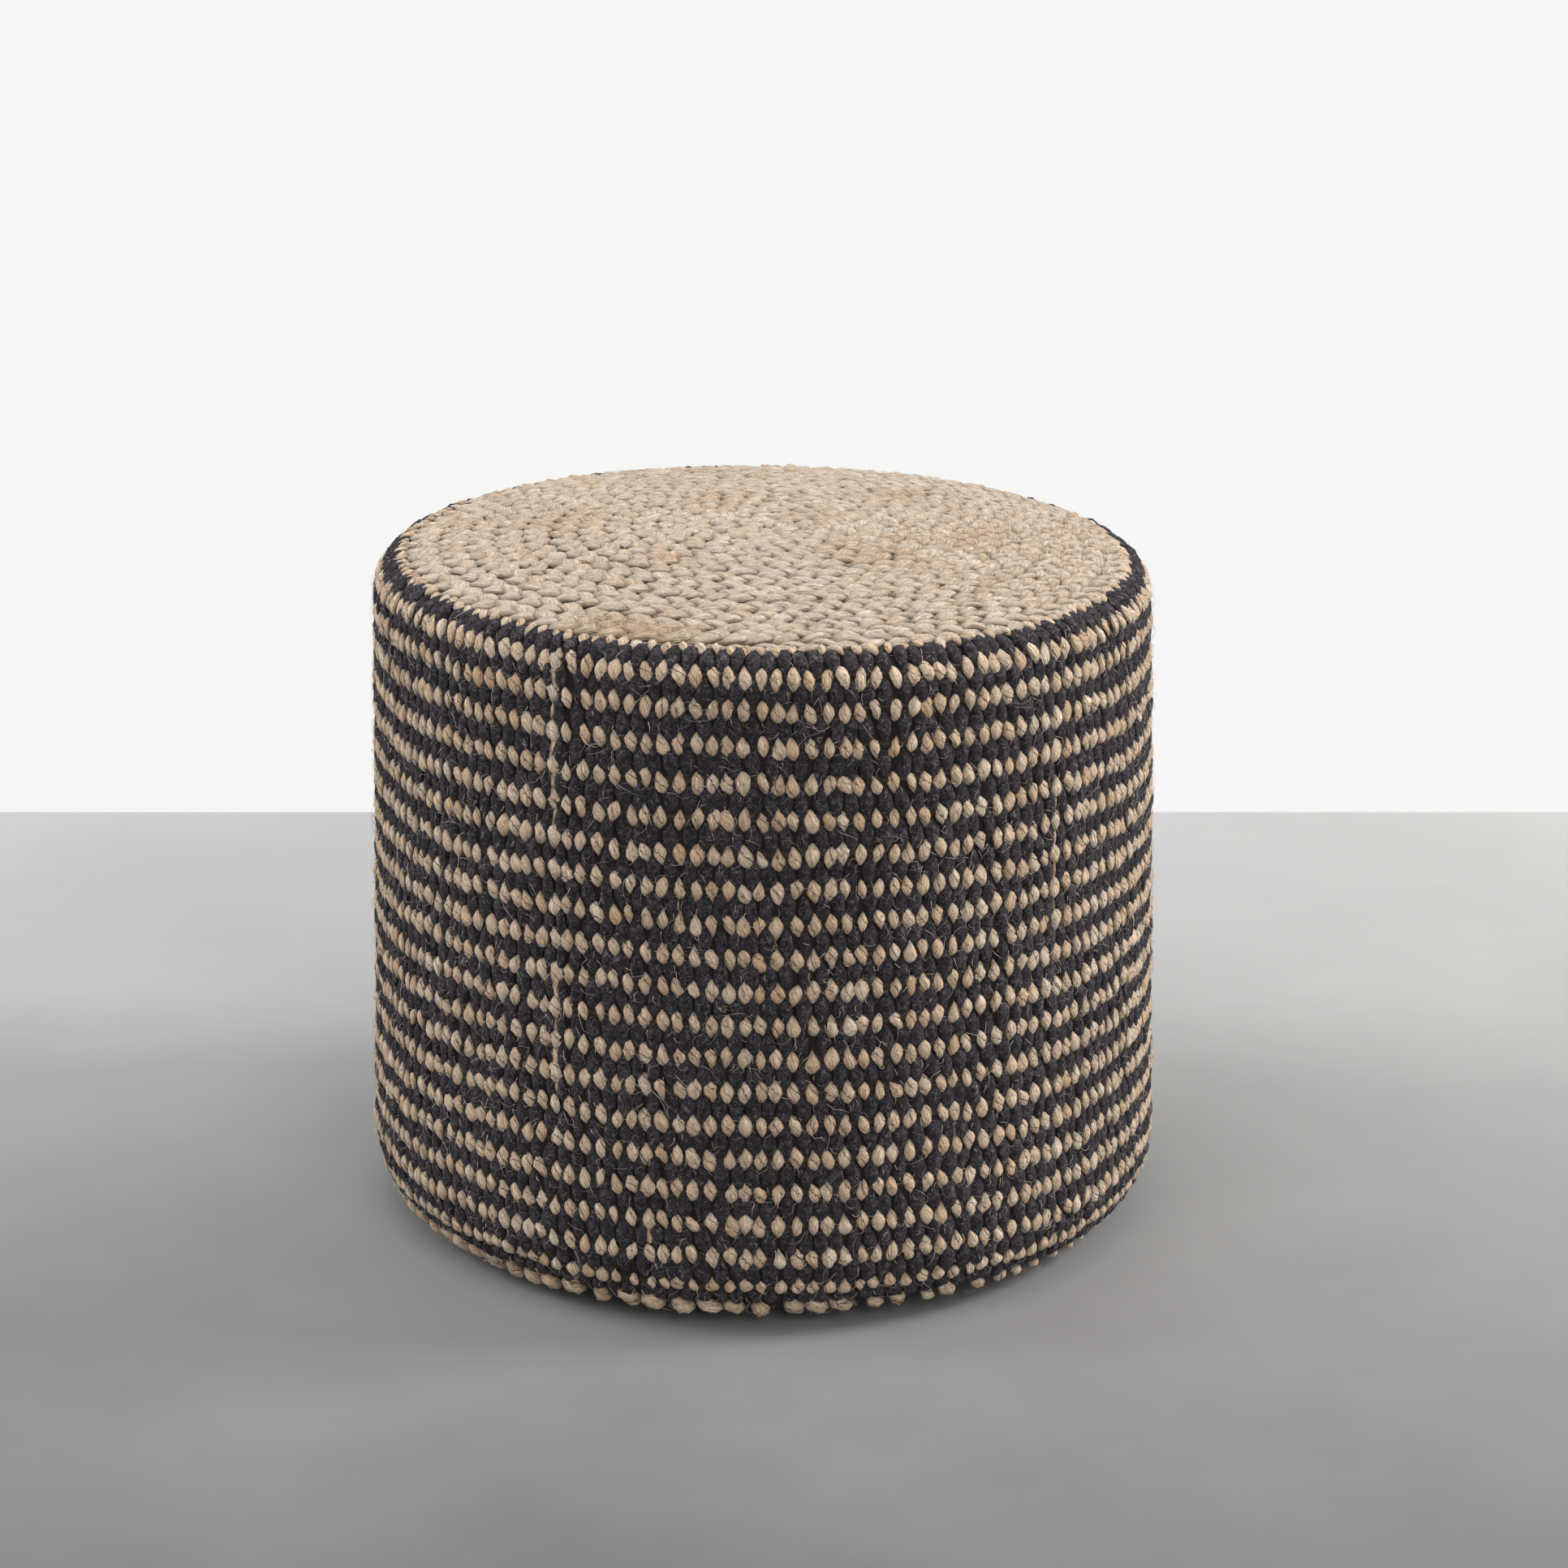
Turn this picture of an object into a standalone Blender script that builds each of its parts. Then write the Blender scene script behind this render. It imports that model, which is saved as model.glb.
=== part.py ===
"""Jute pouf: a filled drum in a striped woven side band, with a braided top and a plain base.

The band is a rib weave. Thick weft cords lie round the drum as level courses, and upright warp
yarns cross them, so every second course shows jute and the ones between show charcoal wool.
The top is one long three-strand jute braid wound flat into a round mat and sewn turn to turn.
Metres, +Z up, origin at the middle of the underside.
"""

import math

import bmesh
import bpy

# Driving dimensions of the drum
HEIGHT = 0.428           # floor to the top of the rim
RIM_RADIUS = 0.2456      # outside of the band where it turns over the rim
LOW_RADIUS = 0.2546      # outside of the band low down, where the filling spreads it
RIM_ROUND = 0.0245       # radius of the rounded rim
FOOT_RADIUS = 0.215      # edge of the flat footprint
FOOT_ROUND = 0.050       # height over which the band draws in to the footprint
RIM_LEAN = 0.0035        # how much higher the rim stands at -X, and lower at +X
CROWN = 0.012            # rise of the filled top from its edge to its middle

# Weave of the band
COURSE_PITCH = 0.0212    # from one jute course to the next along the band
FIRST_COURSE = 0.0055    # first jute course, from the band's top edge
COURSE_RELIEF = 0.0014   # how far a jute course stands proud of its charcoal neighbours

# Braided top
MAT_RADIUS = 0.2210
MAT_THICKNESS = 0.011
BRAID_TURNS = 14
BRAID_RELIEF = 0.0035    # depth of the groove between two turns
CENTRE_SHIFT = (0.014, 0.012)   # the winding starts a little off the middle
BRAID_END_ANGLE = -1.95  # where the braid's outer end is sewn down, front left

# Base panel
BASE_RADIUS = 0.205
BASE_THICKNESS = 0.0025
BAND_CLEARANCE = 0.0006  # the band's foot stays this far off the floor

GAP = 0.0003             # between two separate pieces
SEGMENTS = 56            # facets round every round piece
SEAT_SHARES = (0.3, 0.6, 0.85)   # rings of the domed seat, as shares of the mat's radius


def clear_scene():
    for item in list(bpy.data.objects):
        bpy.data.objects.remove(item, do_unlink=True)


def leaned(x, y, z):
    """Tips the top of the soft drum a little towards +X; the footprint stays level."""
    return (x, y, z - RIM_LEAN * (x / RIM_RADIUS) * (z / HEIGHT) ** 2)


def crown_height(radius):
    """Rise of the filled top above its edge at a distance from the middle."""
    share = min(radius / MAT_RADIUS, 1.0)
    return CROWN * (1.0 - share * share)


def make_material(name, colour, roughness):
    material = bpy.data.materials.new(name)
    material.use_nodes = True
    shader = material.node_tree.nodes["Principled BSDF"]
    shader.inputs["Base Color"].default_value = (*colour, 1.0)
    shader.inputs["Roughness"].default_value = roughness
    shader.inputs["Metallic"].default_value = 0.0
    return material


def finish_object(name, bm, material):
    """Turns a bmesh into a smooth-shaded object with its faces pointing out."""
    bmesh.ops.remove_doubles(bm, verts=bm.verts, dist=0.00002)
    bmesh.ops.recalc_face_normals(bm, faces=bm.faces)
    bmesh.ops.triangulate(bm, faces=[face for face in bm.faces if len(face.verts) > 3])
    mesh = bpy.data.meshes.new(name)
    bm.to_mesh(mesh)
    bm.free()
    mesh.shade_smooth()
    mesh.set_sharp_from_angle(angle=math.radians(50))
    mesh.materials.append(material)
    item = bpy.data.objects.new(name, mesh)
    bpy.context.scene.collection.objects.link(item)
    return item


def winding_angle(step):
    """Angle of a facet corner; the braid winds clockwise from above, ending at BRAID_END_ANGLE."""
    return BRAID_END_ANGLE - 2.0 * math.pi * step / SEGMENTS


def ring_of_points(bm, radius, height):
    """One level ring, or a single point where the radius is nought."""
    if radius == 0.0:
        return [bm.verts.new(leaned(0.0, 0.0, height))]
    return [bm.verts.new(leaned(radius * math.cos(winding_angle(step)),
                                radius * math.sin(winding_angle(step)), height))
            for step in range(SEGMENTS)]


def turned_solid(profile):
    """A closed solid turned about Z from (radius, height) points, from top middle to bottom middle."""
    bm = bmesh.new()
    rings = [ring_of_points(bm, radius, height) for radius, height in profile]
    for upper, lower in zip(rings, rings[1:]):
        for step in range(SEGMENTS):
            after = (step + 1) % SEGMENTS
            if len(upper) == 1:
                bm.faces.new((upper[0], lower[step], lower[after]))
            elif len(lower) == 1:
                bm.faces.new((upper[step], lower[0], upper[after]))
            else:
                bm.faces.new((upper[step], lower[step], lower[after], upper[after]))
    return bm


def band_outline():
    """The band's smooth section as dense (radius, height) points, from mat edge to footprint."""
    arc_steps = 40
    rim_centre = RIM_RADIUS - RIM_ROUND
    points = []
    for step in range(arc_steps + 1):
        angle = 0.5 * math.pi * step / arc_steps
        points.append((rim_centre + RIM_ROUND * math.sin(angle),
                       HEIGHT - RIM_ROUND + RIM_ROUND * math.cos(angle)))
    for step in range(arc_steps + 1):
        angle = 0.5 * math.pi * step / arc_steps
        points.append((FOOT_RADIUS + (LOW_RADIUS - FOOT_RADIUS) * math.cos(angle),
                       FOOT_ROUND - (FOOT_ROUND - BAND_CLEARANCE) * math.sin(angle)))
    return points


def along(points, distance):
    """Point and outward normal at a distance along an outline."""
    for (r0, z0), (r1, z1) in zip(points, points[1:]):
        length = math.hypot(r1 - r0, z1 - z0)
        if distance <= length:
            share = distance / length
            normal = ((z0 - z1) / length, (r1 - r0) / length)
            return (r0 + (r1 - r0) * share, z0 + (z1 - z0) * share), normal
        distance -= length
    return points[-1], (0.0, -1.0)


def outline_length(points):
    return sum(math.hypot(r1 - r0, z1 - z0) for (r0, z0), (r1, z1) in zip(points, points[1:]))


def make_woven_body():
    """The filled drum: domed seat under the mat, ribbed band, seat for the base panel."""
    outline = band_outline()
    length = outline_length(outline)
    seat_radius = MAT_RADIUS + GAP
    seat_drop = MAT_THICKNESS + GAP
    profile = [(0.0, HEIGHT - seat_drop + CROWN)]
    for share in SEAT_SHARES:
        radius = MAT_RADIUS * share
        profile.append((radius, HEIGHT - seat_drop + crown_height(radius)))
    profile.append((seat_radius, HEIGHT - seat_drop))
    distance = FIRST_COURSE
    crest = True
    while distance < length - 0.25 * COURSE_PITCH:
        (radius, height), (normal_r, normal_z) = along(outline, distance)
        sink = 0.0 if crest else COURSE_RELIEF
        radius = max(radius - sink * normal_r, seat_radius)
        profile.append((radius, height - sink * normal_z))
        distance += 0.5 * COURSE_PITCH
        crest = not crest
    profile.append((FOOT_RADIUS, BAND_CLEARANCE))
    profile.append((BASE_RADIUS + GAP, BAND_CLEARANCE))
    profile.append((BASE_RADIUS + GAP, BASE_THICKNESS + GAP))
    profile.append((0.0, BASE_THICKNESS + GAP))
    bm = turned_solid(profile)
    finish_object("woven_body", bm, make_material("jute_and_charcoal_wool", (0.16, 0.13, 0.11), 0.95))


def spiral_place(radius, angle, height):
    """Puts a winding point on the crowned, slightly off-centre mat."""
    share = radius / MAT_RADIUS
    drift = 1.0 - share * share
    x = radius * math.cos(angle) + CENTRE_SHIFT[0] * drift
    y = radius * math.sin(angle) + CENTRE_SHIFT[1] * drift
    z = HEIGHT + crown_height(math.hypot(x, y)) + height
    return leaned(x, y, z)


def make_braided_top():
    """The mat: one spiral ridge from the middle to the edge, tapering out where the braid ends."""
    bm = bmesh.new()
    pitch = MAT_RADIUS / BRAID_TURNS
    total = BRAID_TURNS * SEGMENTS
    last_turn = total - SEGMENTS
    crests, grooves = [], []
    for step in range(total + 1):
        inner = pitch * step / SEGMENTS
        outer = min(inner + pitch, MAT_RADIUS)
        crests.append(bm.verts.new(spiral_place(0.5 * (inner + outer), winding_angle(step), 0.0)))
        grooves.append(bm.verts.new(spiral_place(outer, winding_angle(step), -BRAID_RELIEF)))
    for step in range(total):
        bm.faces.new((crests[step], crests[step + 1], grooves[step + 1], grooves[step]))
        if step < last_turn:
            ahead = step + SEGMENTS
            bm.faces.new((grooves[step], grooves[step + 1], crests[ahead + 1], crests[ahead]))
    hub = bm.verts.new(spiral_place(0.25 * pitch, BRAID_END_ANGLE + math.pi, 0.0))
    inner_edge = [*crests[:SEGMENTS + 1], grooves[0]]
    for one, other in zip(inner_edge, inner_edge[1:] + inner_edge[:1]):
        bm.faces.new((hub, one, other))
    # Outer wall and underside
    upper = grooves[last_turn:total]
    for share in (1.0, *reversed(SEAT_SHARES)):
        radius = MAT_RADIUS * share
        lower = ring_of_points(bm, radius, HEIGHT - MAT_THICKNESS + crown_height(radius))
        for step in range(SEGMENTS):
            after = (step + 1) % SEGMENTS
            bm.faces.new((upper[step], upper[after], lower[after], lower[step]))
        upper = lower
    middle = ring_of_points(bm, 0.0, HEIGHT - MAT_THICKNESS + CROWN)[0]
    for step in range(SEGMENTS):
        bm.faces.new((upper[step], upper[(step + 1) % SEGMENTS], middle))
    finish_object("braided_top", bm, make_material("jute_braid", (0.56, 0.46, 0.35), 0.9))


def make_base_panel():
    """The plain round panel that closes the underside."""
    profile = [(0.0, BASE_THICKNESS), (BASE_RADIUS, BASE_THICKNESS), (BASE_RADIUS, 0.0), (0.0, 0.0)]
    finish_object("base_panel", turned_solid(profile), make_material("base_cloth", (0.30, 0.26, 0.21), 0.95))


clear_scene()
make_woven_body()
make_braided_top()
make_base_panel()
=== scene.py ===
"""Jute pouf, the looks: a filled drum in a woven side band of jute and charcoal wool, with a
braided jute mat sewn on top and a plain canvas panel underneath. Metres, +Z up, as in the frame.
"""
import math

import bpy
import numpy as np
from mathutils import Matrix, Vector


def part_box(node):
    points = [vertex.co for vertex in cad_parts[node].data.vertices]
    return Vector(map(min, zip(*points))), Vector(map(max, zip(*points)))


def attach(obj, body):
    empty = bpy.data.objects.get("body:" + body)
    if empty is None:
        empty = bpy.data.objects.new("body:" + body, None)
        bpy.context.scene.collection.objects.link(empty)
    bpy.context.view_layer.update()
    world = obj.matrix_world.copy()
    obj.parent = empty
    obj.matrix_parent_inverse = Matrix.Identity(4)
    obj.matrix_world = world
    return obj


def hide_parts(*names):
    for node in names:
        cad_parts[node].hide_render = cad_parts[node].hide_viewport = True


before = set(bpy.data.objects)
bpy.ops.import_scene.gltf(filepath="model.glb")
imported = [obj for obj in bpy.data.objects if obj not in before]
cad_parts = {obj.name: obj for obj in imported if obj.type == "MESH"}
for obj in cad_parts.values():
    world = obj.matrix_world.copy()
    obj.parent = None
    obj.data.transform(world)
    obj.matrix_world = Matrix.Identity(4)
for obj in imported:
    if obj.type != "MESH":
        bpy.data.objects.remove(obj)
bpy.context.view_layer.update()

# ---------------------------------------------------------------------------------------------
# The drum under the yarns: a tight round bag of filling, closed by the ground of the band.
# Thick weft cords of undyed jute run level round it, and every upright yarn is woven over them.
# Its outline, lean and slump place every yarn of the band, and the mat leans with it.
# ---------------------------------------------------------------------------------------------
band_low, band_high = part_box("woven_body")
mat_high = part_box("braided_top")[1]
base_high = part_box("base_panel")[1]

CROWN = 0.012                                # rise of the filled top, edge to middle
RIM_ROUND = 0.0245                           # radius of the rounded rim
RIM_IN = 0.009                               # the rim is this much narrower than the belly
FOOT_ROUND = 0.050                           # height over which the band draws in to the floor
FOOT_IN = 0.0395                             # how far the foot is drawn in under the belly
RIM_LEAN = 0.0035                            # the rim stands this much higher at -X
TUCK_IN = 0.030                              # the band runs on this far under the mat's edge
TUCK_DROP = 0.006                            # and ends this far under the rim
belly_radius = band_high.x
rim_radius = belly_radius - RIM_IN
foot_radius = belly_radius - FOOT_IN
mat_radius = mat_high.x
rim_height = mat_high.z - CROWN
foot_clearance = band_low.z

# The outline runs from under the mat, over the rim, and down the belly to the foot. "Down" is
# the distance along it from the start of the rim's round, and "out" stands square off it.
quarter = np.linspace(0.0, 0.5 * math.pi, 90)
outline_radius = np.concatenate((
    [mat_radius - TUCK_IN],
    rim_radius - RIM_ROUND + RIM_ROUND * np.sin(quarter),
    foot_radius + (belly_radius - foot_radius) * np.cos(quarter)))
outline_height = np.concatenate((
    [rim_height - TUCK_DROP],
    rim_height - RIM_ROUND + RIM_ROUND * np.cos(quarter),
    FOOT_ROUND - (FOOT_ROUND - foot_clearance) * np.sin(quarter)))
outline_steps = np.hypot(np.diff(outline_radius), np.diff(outline_height))
outline_down = np.concatenate(([0.0], np.cumsum(outline_steps))) - outline_steps[0]
band_length = outline_down[-1]

OUTLINE_STEP = 0.0005
SOFTEN_STEPS = 4                             # the slope is evened out over this many steps each way
dense_down = np.arange(outline_down[0], band_length, OUTLINE_STEP)
dense_radius = np.interp(dense_down, outline_down, outline_radius)
dense_height = np.interp(dense_down, outline_down, outline_height)


def softened_slope(values):
    even = np.ones(2 * SOFTEN_STEPS + 1) / (2 * SOFTEN_STEPS + 1.0)
    return np.convolve(np.pad(np.gradient(values), SOFTEN_STEPS, mode="edge"), even, mode="valid")


slope_radius = softened_slope(dense_radius)
slope_height = softened_slope(dense_height)
slope_size = np.hypot(slope_radius, slope_height)
slope_radius /= slope_size
slope_height /= slope_size


def ripple(angle, down, seed, rounds, reach, waves=7):
    """Smooth unevenness of about -1.5 to 1.5, closed round the drum: at most so many rounds of
    waves round it, and waves no shorter than the reach down it."""
    dice = np.random.default_rng(seed)
    total = 0.0
    for _ in range(waves):
        around = dice.integers(1, rounds + 1)
        downward = dice.uniform(-1.0, 1.0) * 2.0 * math.pi / reach
        total = total + np.sin(around * angle + downward * down + dice.uniform(0.0, 2.0 * math.pi))
    return total / math.sqrt(waves)


def smooth_step(value, low, high):
    """0 below the low value, 1 above the high one, and a smooth rise between."""
    share = np.clip((value - low) / (high - low), 0.0, 1.0)
    return share * share * (3.0 - 2.0 * share)


DRAWN_IN_AT = math.radians(-142.0)           # the foot is pulled in a little here, front left
DRAWN_IN = 0.0050
DRAWN_IN_REACH = 0.42                        # radians to each side
DRAWN_IN_HEIGHT = 0.085
SLUMP = 0.0008                               # gentle unevenness of the filling
FIRM_REACH = 0.05                            # the rim stays round; the slump sets in below it
SLUMP_REACH = 0.30


def leaning(x, height):
    """Height of a point once the drum leans: not at all at the floor, fully at the rim."""
    return height - RIM_LEAN * (x / rim_radius) * (height / rim_height) ** 2


def on_drum(angle, down, out):
    """Point round the drum, a distance down the band from the mat's edge and a height out."""
    radius = np.interp(down, dense_down, dense_radius) - out * np.interp(down, dense_down, slope_height)
    height = np.interp(down, dense_down, dense_height) + out * np.interp(down, dense_down, slope_radius)
    beside = np.angle(np.exp(1j * (angle - DRAWN_IN_AT)))
    drawn_in = (DRAWN_IN * np.exp(-(beside / DRAWN_IN_REACH) ** 2)
                * np.clip(1.0 - height / DRAWN_IN_HEIGHT, 0.0, 1.0))
    loose = np.clip(down / FIRM_REACH, 0.0, 1.0)
    radius = radius + SLUMP * loose * ripple(angle, down, 5, 9, SLUMP_REACH) - drawn_in
    x = radius * np.cos(angle)
    y = radius * np.sin(angle)
    return np.stack((x, y, leaning(x, height)), axis=-1)


COURSE_PITCH = 0.0212                        # from one jute course to the next
FIRST_COURSE = 0.0055                        # the jute course under the mat's edge
COURSES = 19                                 # jute courses below the first
GROUND_DEPTH = 0.0040                        # the ground lies this far under the bumps
CORD_RISE = 0.0016                           # a weft cord's crest over the ground
JUTE_COURSE_DOWN = FIRST_COURSE + COURSE_PITCH * np.arange(COURSES + 1)


def mesh_of(name, points, quads, triangles=()):
    """A smooth-shaded mesh from arrays of points, four-corner and three-corner faces."""
    quads = np.asarray(quads, np.int32).reshape(-1, 4)
    triangles = np.asarray(triangles, np.int32).reshape(-1, 3)
    corners = np.concatenate((quads.ravel(), triangles.ravel()))
    starts = np.concatenate((np.arange(len(quads)) * 4,
                             len(quads) * 4 + np.arange(len(triangles)) * 3))
    mesh = bpy.data.meshes.new(name)
    mesh.vertices.add(len(points))
    mesh.vertices.foreach_set("co", np.asarray(points, np.float32).ravel())
    mesh.loops.add(len(corners))
    mesh.loops.foreach_set("vertex_index", corners)
    mesh.polygons.add(len(starts))
    mesh.polygons.foreach_set("loop_start", starts.astype(np.int32))
    mesh.update(calc_edges=True)
    mesh.validate()
    mesh.shade_smooth()
    return mesh


def mark(mesh, name, values):
    """Keeps a number or a vector for each point, for the finish to read."""
    values = np.asarray(values, np.float32)
    if values.ndim == 1:
        mesh.attributes.new(name, "FLOAT", "POINT").data.foreach_set("value", values)
    else:
        mesh.attributes.new(name, "FLOAT_VECTOR", "POINT").data.foreach_set("vector", values.ravel())


def turned_form(name, rings):
    """A closed form from rings of points (rings, around, 3), middle of the top to underside."""
    count, around = rings.shape[:2]
    step = np.arange(around)
    after = (step + 1) % around
    upper = (np.arange(count - 1) * around)[:, None]
    quads = np.stack((upper + step, upper + around + step, upper + around + after, upper + after),
                     axis=-1).reshape(-1, 4)
    points = np.concatenate((rings.reshape(-1, 3),
                             rings[:1].mean(axis=1), rings[-1:].mean(axis=1)))
    first, last = count * around, count * around + 1
    final = (count - 1) * around
    triangles = np.concatenate((
        np.stack((np.full(around, first), step, after), axis=-1),
        np.stack((np.full(around, last), final + after, final + step), axis=-1)))
    return mesh_of(name, points, quads, triangles)


def add(tree, kind, values, **settings):
    """Adds a shader node; values are numbers, colours or other nodes' outputs."""
    node = tree.nodes.new("ShaderNode" + kind)
    for key, value in settings.items():
        setattr(node, key, value)
    for socket, value in values.items():
        if isinstance(value, bpy.types.NodeSocket):
            tree.links.new(value, node.inputs[socket])
        else:
            node.inputs[socket].default_value = value
    return node


def tint(tree, share, first, second, way="MIX"):
    """Mixes two colours."""
    node = add(tree, "Mix", {0: share, 6: first, 7: second}, data_type="RGBA", blend_type=way)
    return node.outputs[2]


def ramp(tree, value, low, high, start=0.0, end=1.0):
    """Straightens a value from one range to another, held at both ends."""
    node = add(tree, "MapRange", {"Value": value, "From Min": low, "From Max": high,
                                  "To Min": start, "To Max": end})
    return node.outputs["Result"]


def marked(tree, name, output="Fac"):
    return add(tree, "Attribute", {}, attribute_name=name).outputs[output]


def new_finish(name, roughness, sheen):
    """A material with its shader ready; returns it with its node tree and shader."""
    material = bpy.data.materials.new(name)
    material.use_nodes = True
    tree = material.node_tree
    shader = tree.nodes["Principled BSDF"]
    shader.inputs["Roughness"].default_value = roughness
    shader.inputs["Specular IOR Level"].default_value = 0.2
    shader.inputs["Sheen Weight"].default_value = sheen
    return material, tree, shader


def surface(tree, shader, colour, height=None, strength=1.0, distance=0.0008):
    """Gives a shader its colour and, from a height, a fine relief."""
    tree.links.new(colour, shader.inputs["Base Color"])
    if height is not None:
        bump = add(tree, "Bump", {"Height": height, "Strength": strength, "Distance": distance})
        tree.links.new(bump.outputs["Normal"], shader.inputs["Normal"])


def place_piece(name, mesh, material):
    """Puts a mesh in the scene as a piece of the pouf, riding on its one body."""
    mesh.materials.append(material)
    piece = bpy.data.objects.new(name, mesh)
    bpy.context.scene.collection.objects.link(piece)
    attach(piece, "root")
    return piece


# Level rings of the ground: seat under the mat, ribs down the band, hem, seat of the base panel
SEAT_DEPTH = 0.012                           # the seat lies this far under the mat's top
SEAT_SHY = 0.012                             # and ends this far inside the mat's edge
RIB_OFFSETS = np.array([-0.0046, -0.0013, 0.0, 0.0013, 0.0046, 0.0106])
CORD_HALF = 0.0014                           # half width of a weft cord's crest
COURSE_DROP = 0.0036                         # courses between the rim and the foot ride lower
HEM_SHY = 0.002                              # the last rib stops this far short of the hem
HEM_TURN = 0.006                             # the hem is turned this far under the foot
PANEL_ROOM = 0.0006                          # room left round and over the base panel
INNER_RING = 0.02                            # radius of the first and the last ring
GROUND_AROUND = 120
seat_radius = np.array([INNER_RING, 0.08, 0.14, 0.19, mat_radius - SEAT_SHY])
seat_height = rim_height - SEAT_DEPTH + CROWN * (1.0 - (seat_radius / mat_radius) ** 2)
ground_down = (JUTE_COURSE_DOWN[:, None] + RIB_OFFSETS).ravel()
ground_down = np.concatenate((ground_down[ground_down < band_length - 2.0 * HEM_SHY],
                              [band_length - HEM_SHY]))
to_course = np.abs(ground_down[:, None] - JUTE_COURSE_DOWN).min(axis=1)
below_rim = smooth_step(ground_down, 0.02, 0.11)
above_foot = smooth_step(ground_down, 0.445, 0.41)
ground_down = ground_down + COURSE_DROP * below_rim * above_foot
cord_share = np.exp(-(to_course / CORD_HALF) ** 2)
ground_angle = 2.0 * math.pi * np.arange(GROUND_AROUND) / GROUND_AROUND


def level_ring(radius, height):
    """A ring of the ground at one height, leaning as the rim does."""
    x = radius * np.cos(ground_angle)
    return np.stack((x, radius * np.sin(ground_angle), leaning(x, height)), axis=-1)


ground_rings = [level_ring(radius, height) for radius, height in zip(seat_radius, seat_height)]
ground_rings += [on_drum(ground_angle, np.full(GROUND_AROUND, down), -GROUND_DEPTH + CORD_RISE * share)
                 for down, share in zip(ground_down, cord_share)]
hem_rings = [level_ring(foot_radius - HEM_TURN, foot_clearance),
             level_ring(base_high.x + PANEL_ROOM, foot_clearance),
             level_ring(base_high.x + PANEL_ROOM, base_high.z + PANEL_ROOM),
             level_ring(INNER_RING, base_high.z + PANEL_ROOM)]
ground_rings += hem_rings
ground_mesh = turned_form("band_ground", np.stack(ground_rings)[:, ::-1])
ring_cord = np.concatenate((np.zeros(len(seat_radius)), cord_share, np.zeros(len(hem_rings))))
mark(ground_mesh, "cord", np.concatenate((np.repeat(ring_cord, GROUND_AROUND), [0.0, 0.0])))

material, tree, shader = new_finish("band_ground_jute", 0.95, 0.1)
where = add(tree, "TexCoord", {}).outputs["Object"]
fleck = add(tree, "TexNoise", {"Vector": where, "Scale": 420.0, "Detail": 3.0, "Roughness": 0.7})
blotch = add(tree, "TexNoise", {"Vector": where, "Scale": 38.0, "Detail": 2.0})
# Painted shade: the ground is far darker than undyed jute, as under the bumps, and darkest between cords
CORD_DARK = (0.030, 0.023, 0.018, 1)
CORD_LIT = (0.085, 0.062, 0.042, 1)
GAP_DARK = (0.010, 0.008, 0.008, 1)
GAP_LIT = (0.034, 0.026, 0.022, 1)
GROUND_FLECK = (0.50, 0.45, 0.40, 1)
cord_painted_shade = tint(tree, blotch.outputs["Fac"], CORD_DARK, CORD_LIT)
gap_painted_shade = tint(tree, fleck.outputs["Fac"], GAP_DARK, GAP_LIT)
ground_colour = tint(tree, ramp(tree, marked(tree, "cord"), 0.15, 0.75), gap_painted_shade, cord_painted_shade)
ground_colour = tint(tree, ramp(tree, fleck.outputs["Fac"], 0.35, 0.65), ground_colour,
                     GROUND_FLECK, "MULTIPLY")
surface(tree, shader, ground_colour, fleck.outputs["Fac"], 0.5)

ground = place_piece("band_ground", ground_mesh, material)
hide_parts("woven_body")

# ---------------------------------------------------------------------------------------------
# Jute bumps of the band: each upright yarn of two jute plies, twisted together, comes over the
# weft cord of every jute course as one fat bump, and dives behind the wool courses in between.
# Yarns vary in thickness and tone down their length, and a few have slipped and show between.
# ---------------------------------------------------------------------------------------------
JUTE_WIDTH = 0.0090
JUTE_LENGTH = 0.0150
JUTE_DEPTH = 0.0058
PLY_TURN = 190.0                             # radians of ply twist per metre

# Rings along a bump from end to end, and points round a ring with most of them on its outer side
FINE_STATIONS = np.array([-0.95, -0.70, -0.38, 0.0, 0.38, 0.70, 0.95])
FINE_SPOKES = np.radians([0, 36, 72, 108, 144, 180, 238, 302])
PLAIN_STATIONS = np.array([-0.95, -0.66, -0.24, 0.24, 0.66, 0.95])
PLAIN_SPOKES = np.radians([0, 45, 90, 135, 180, 240, 300])


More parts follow.
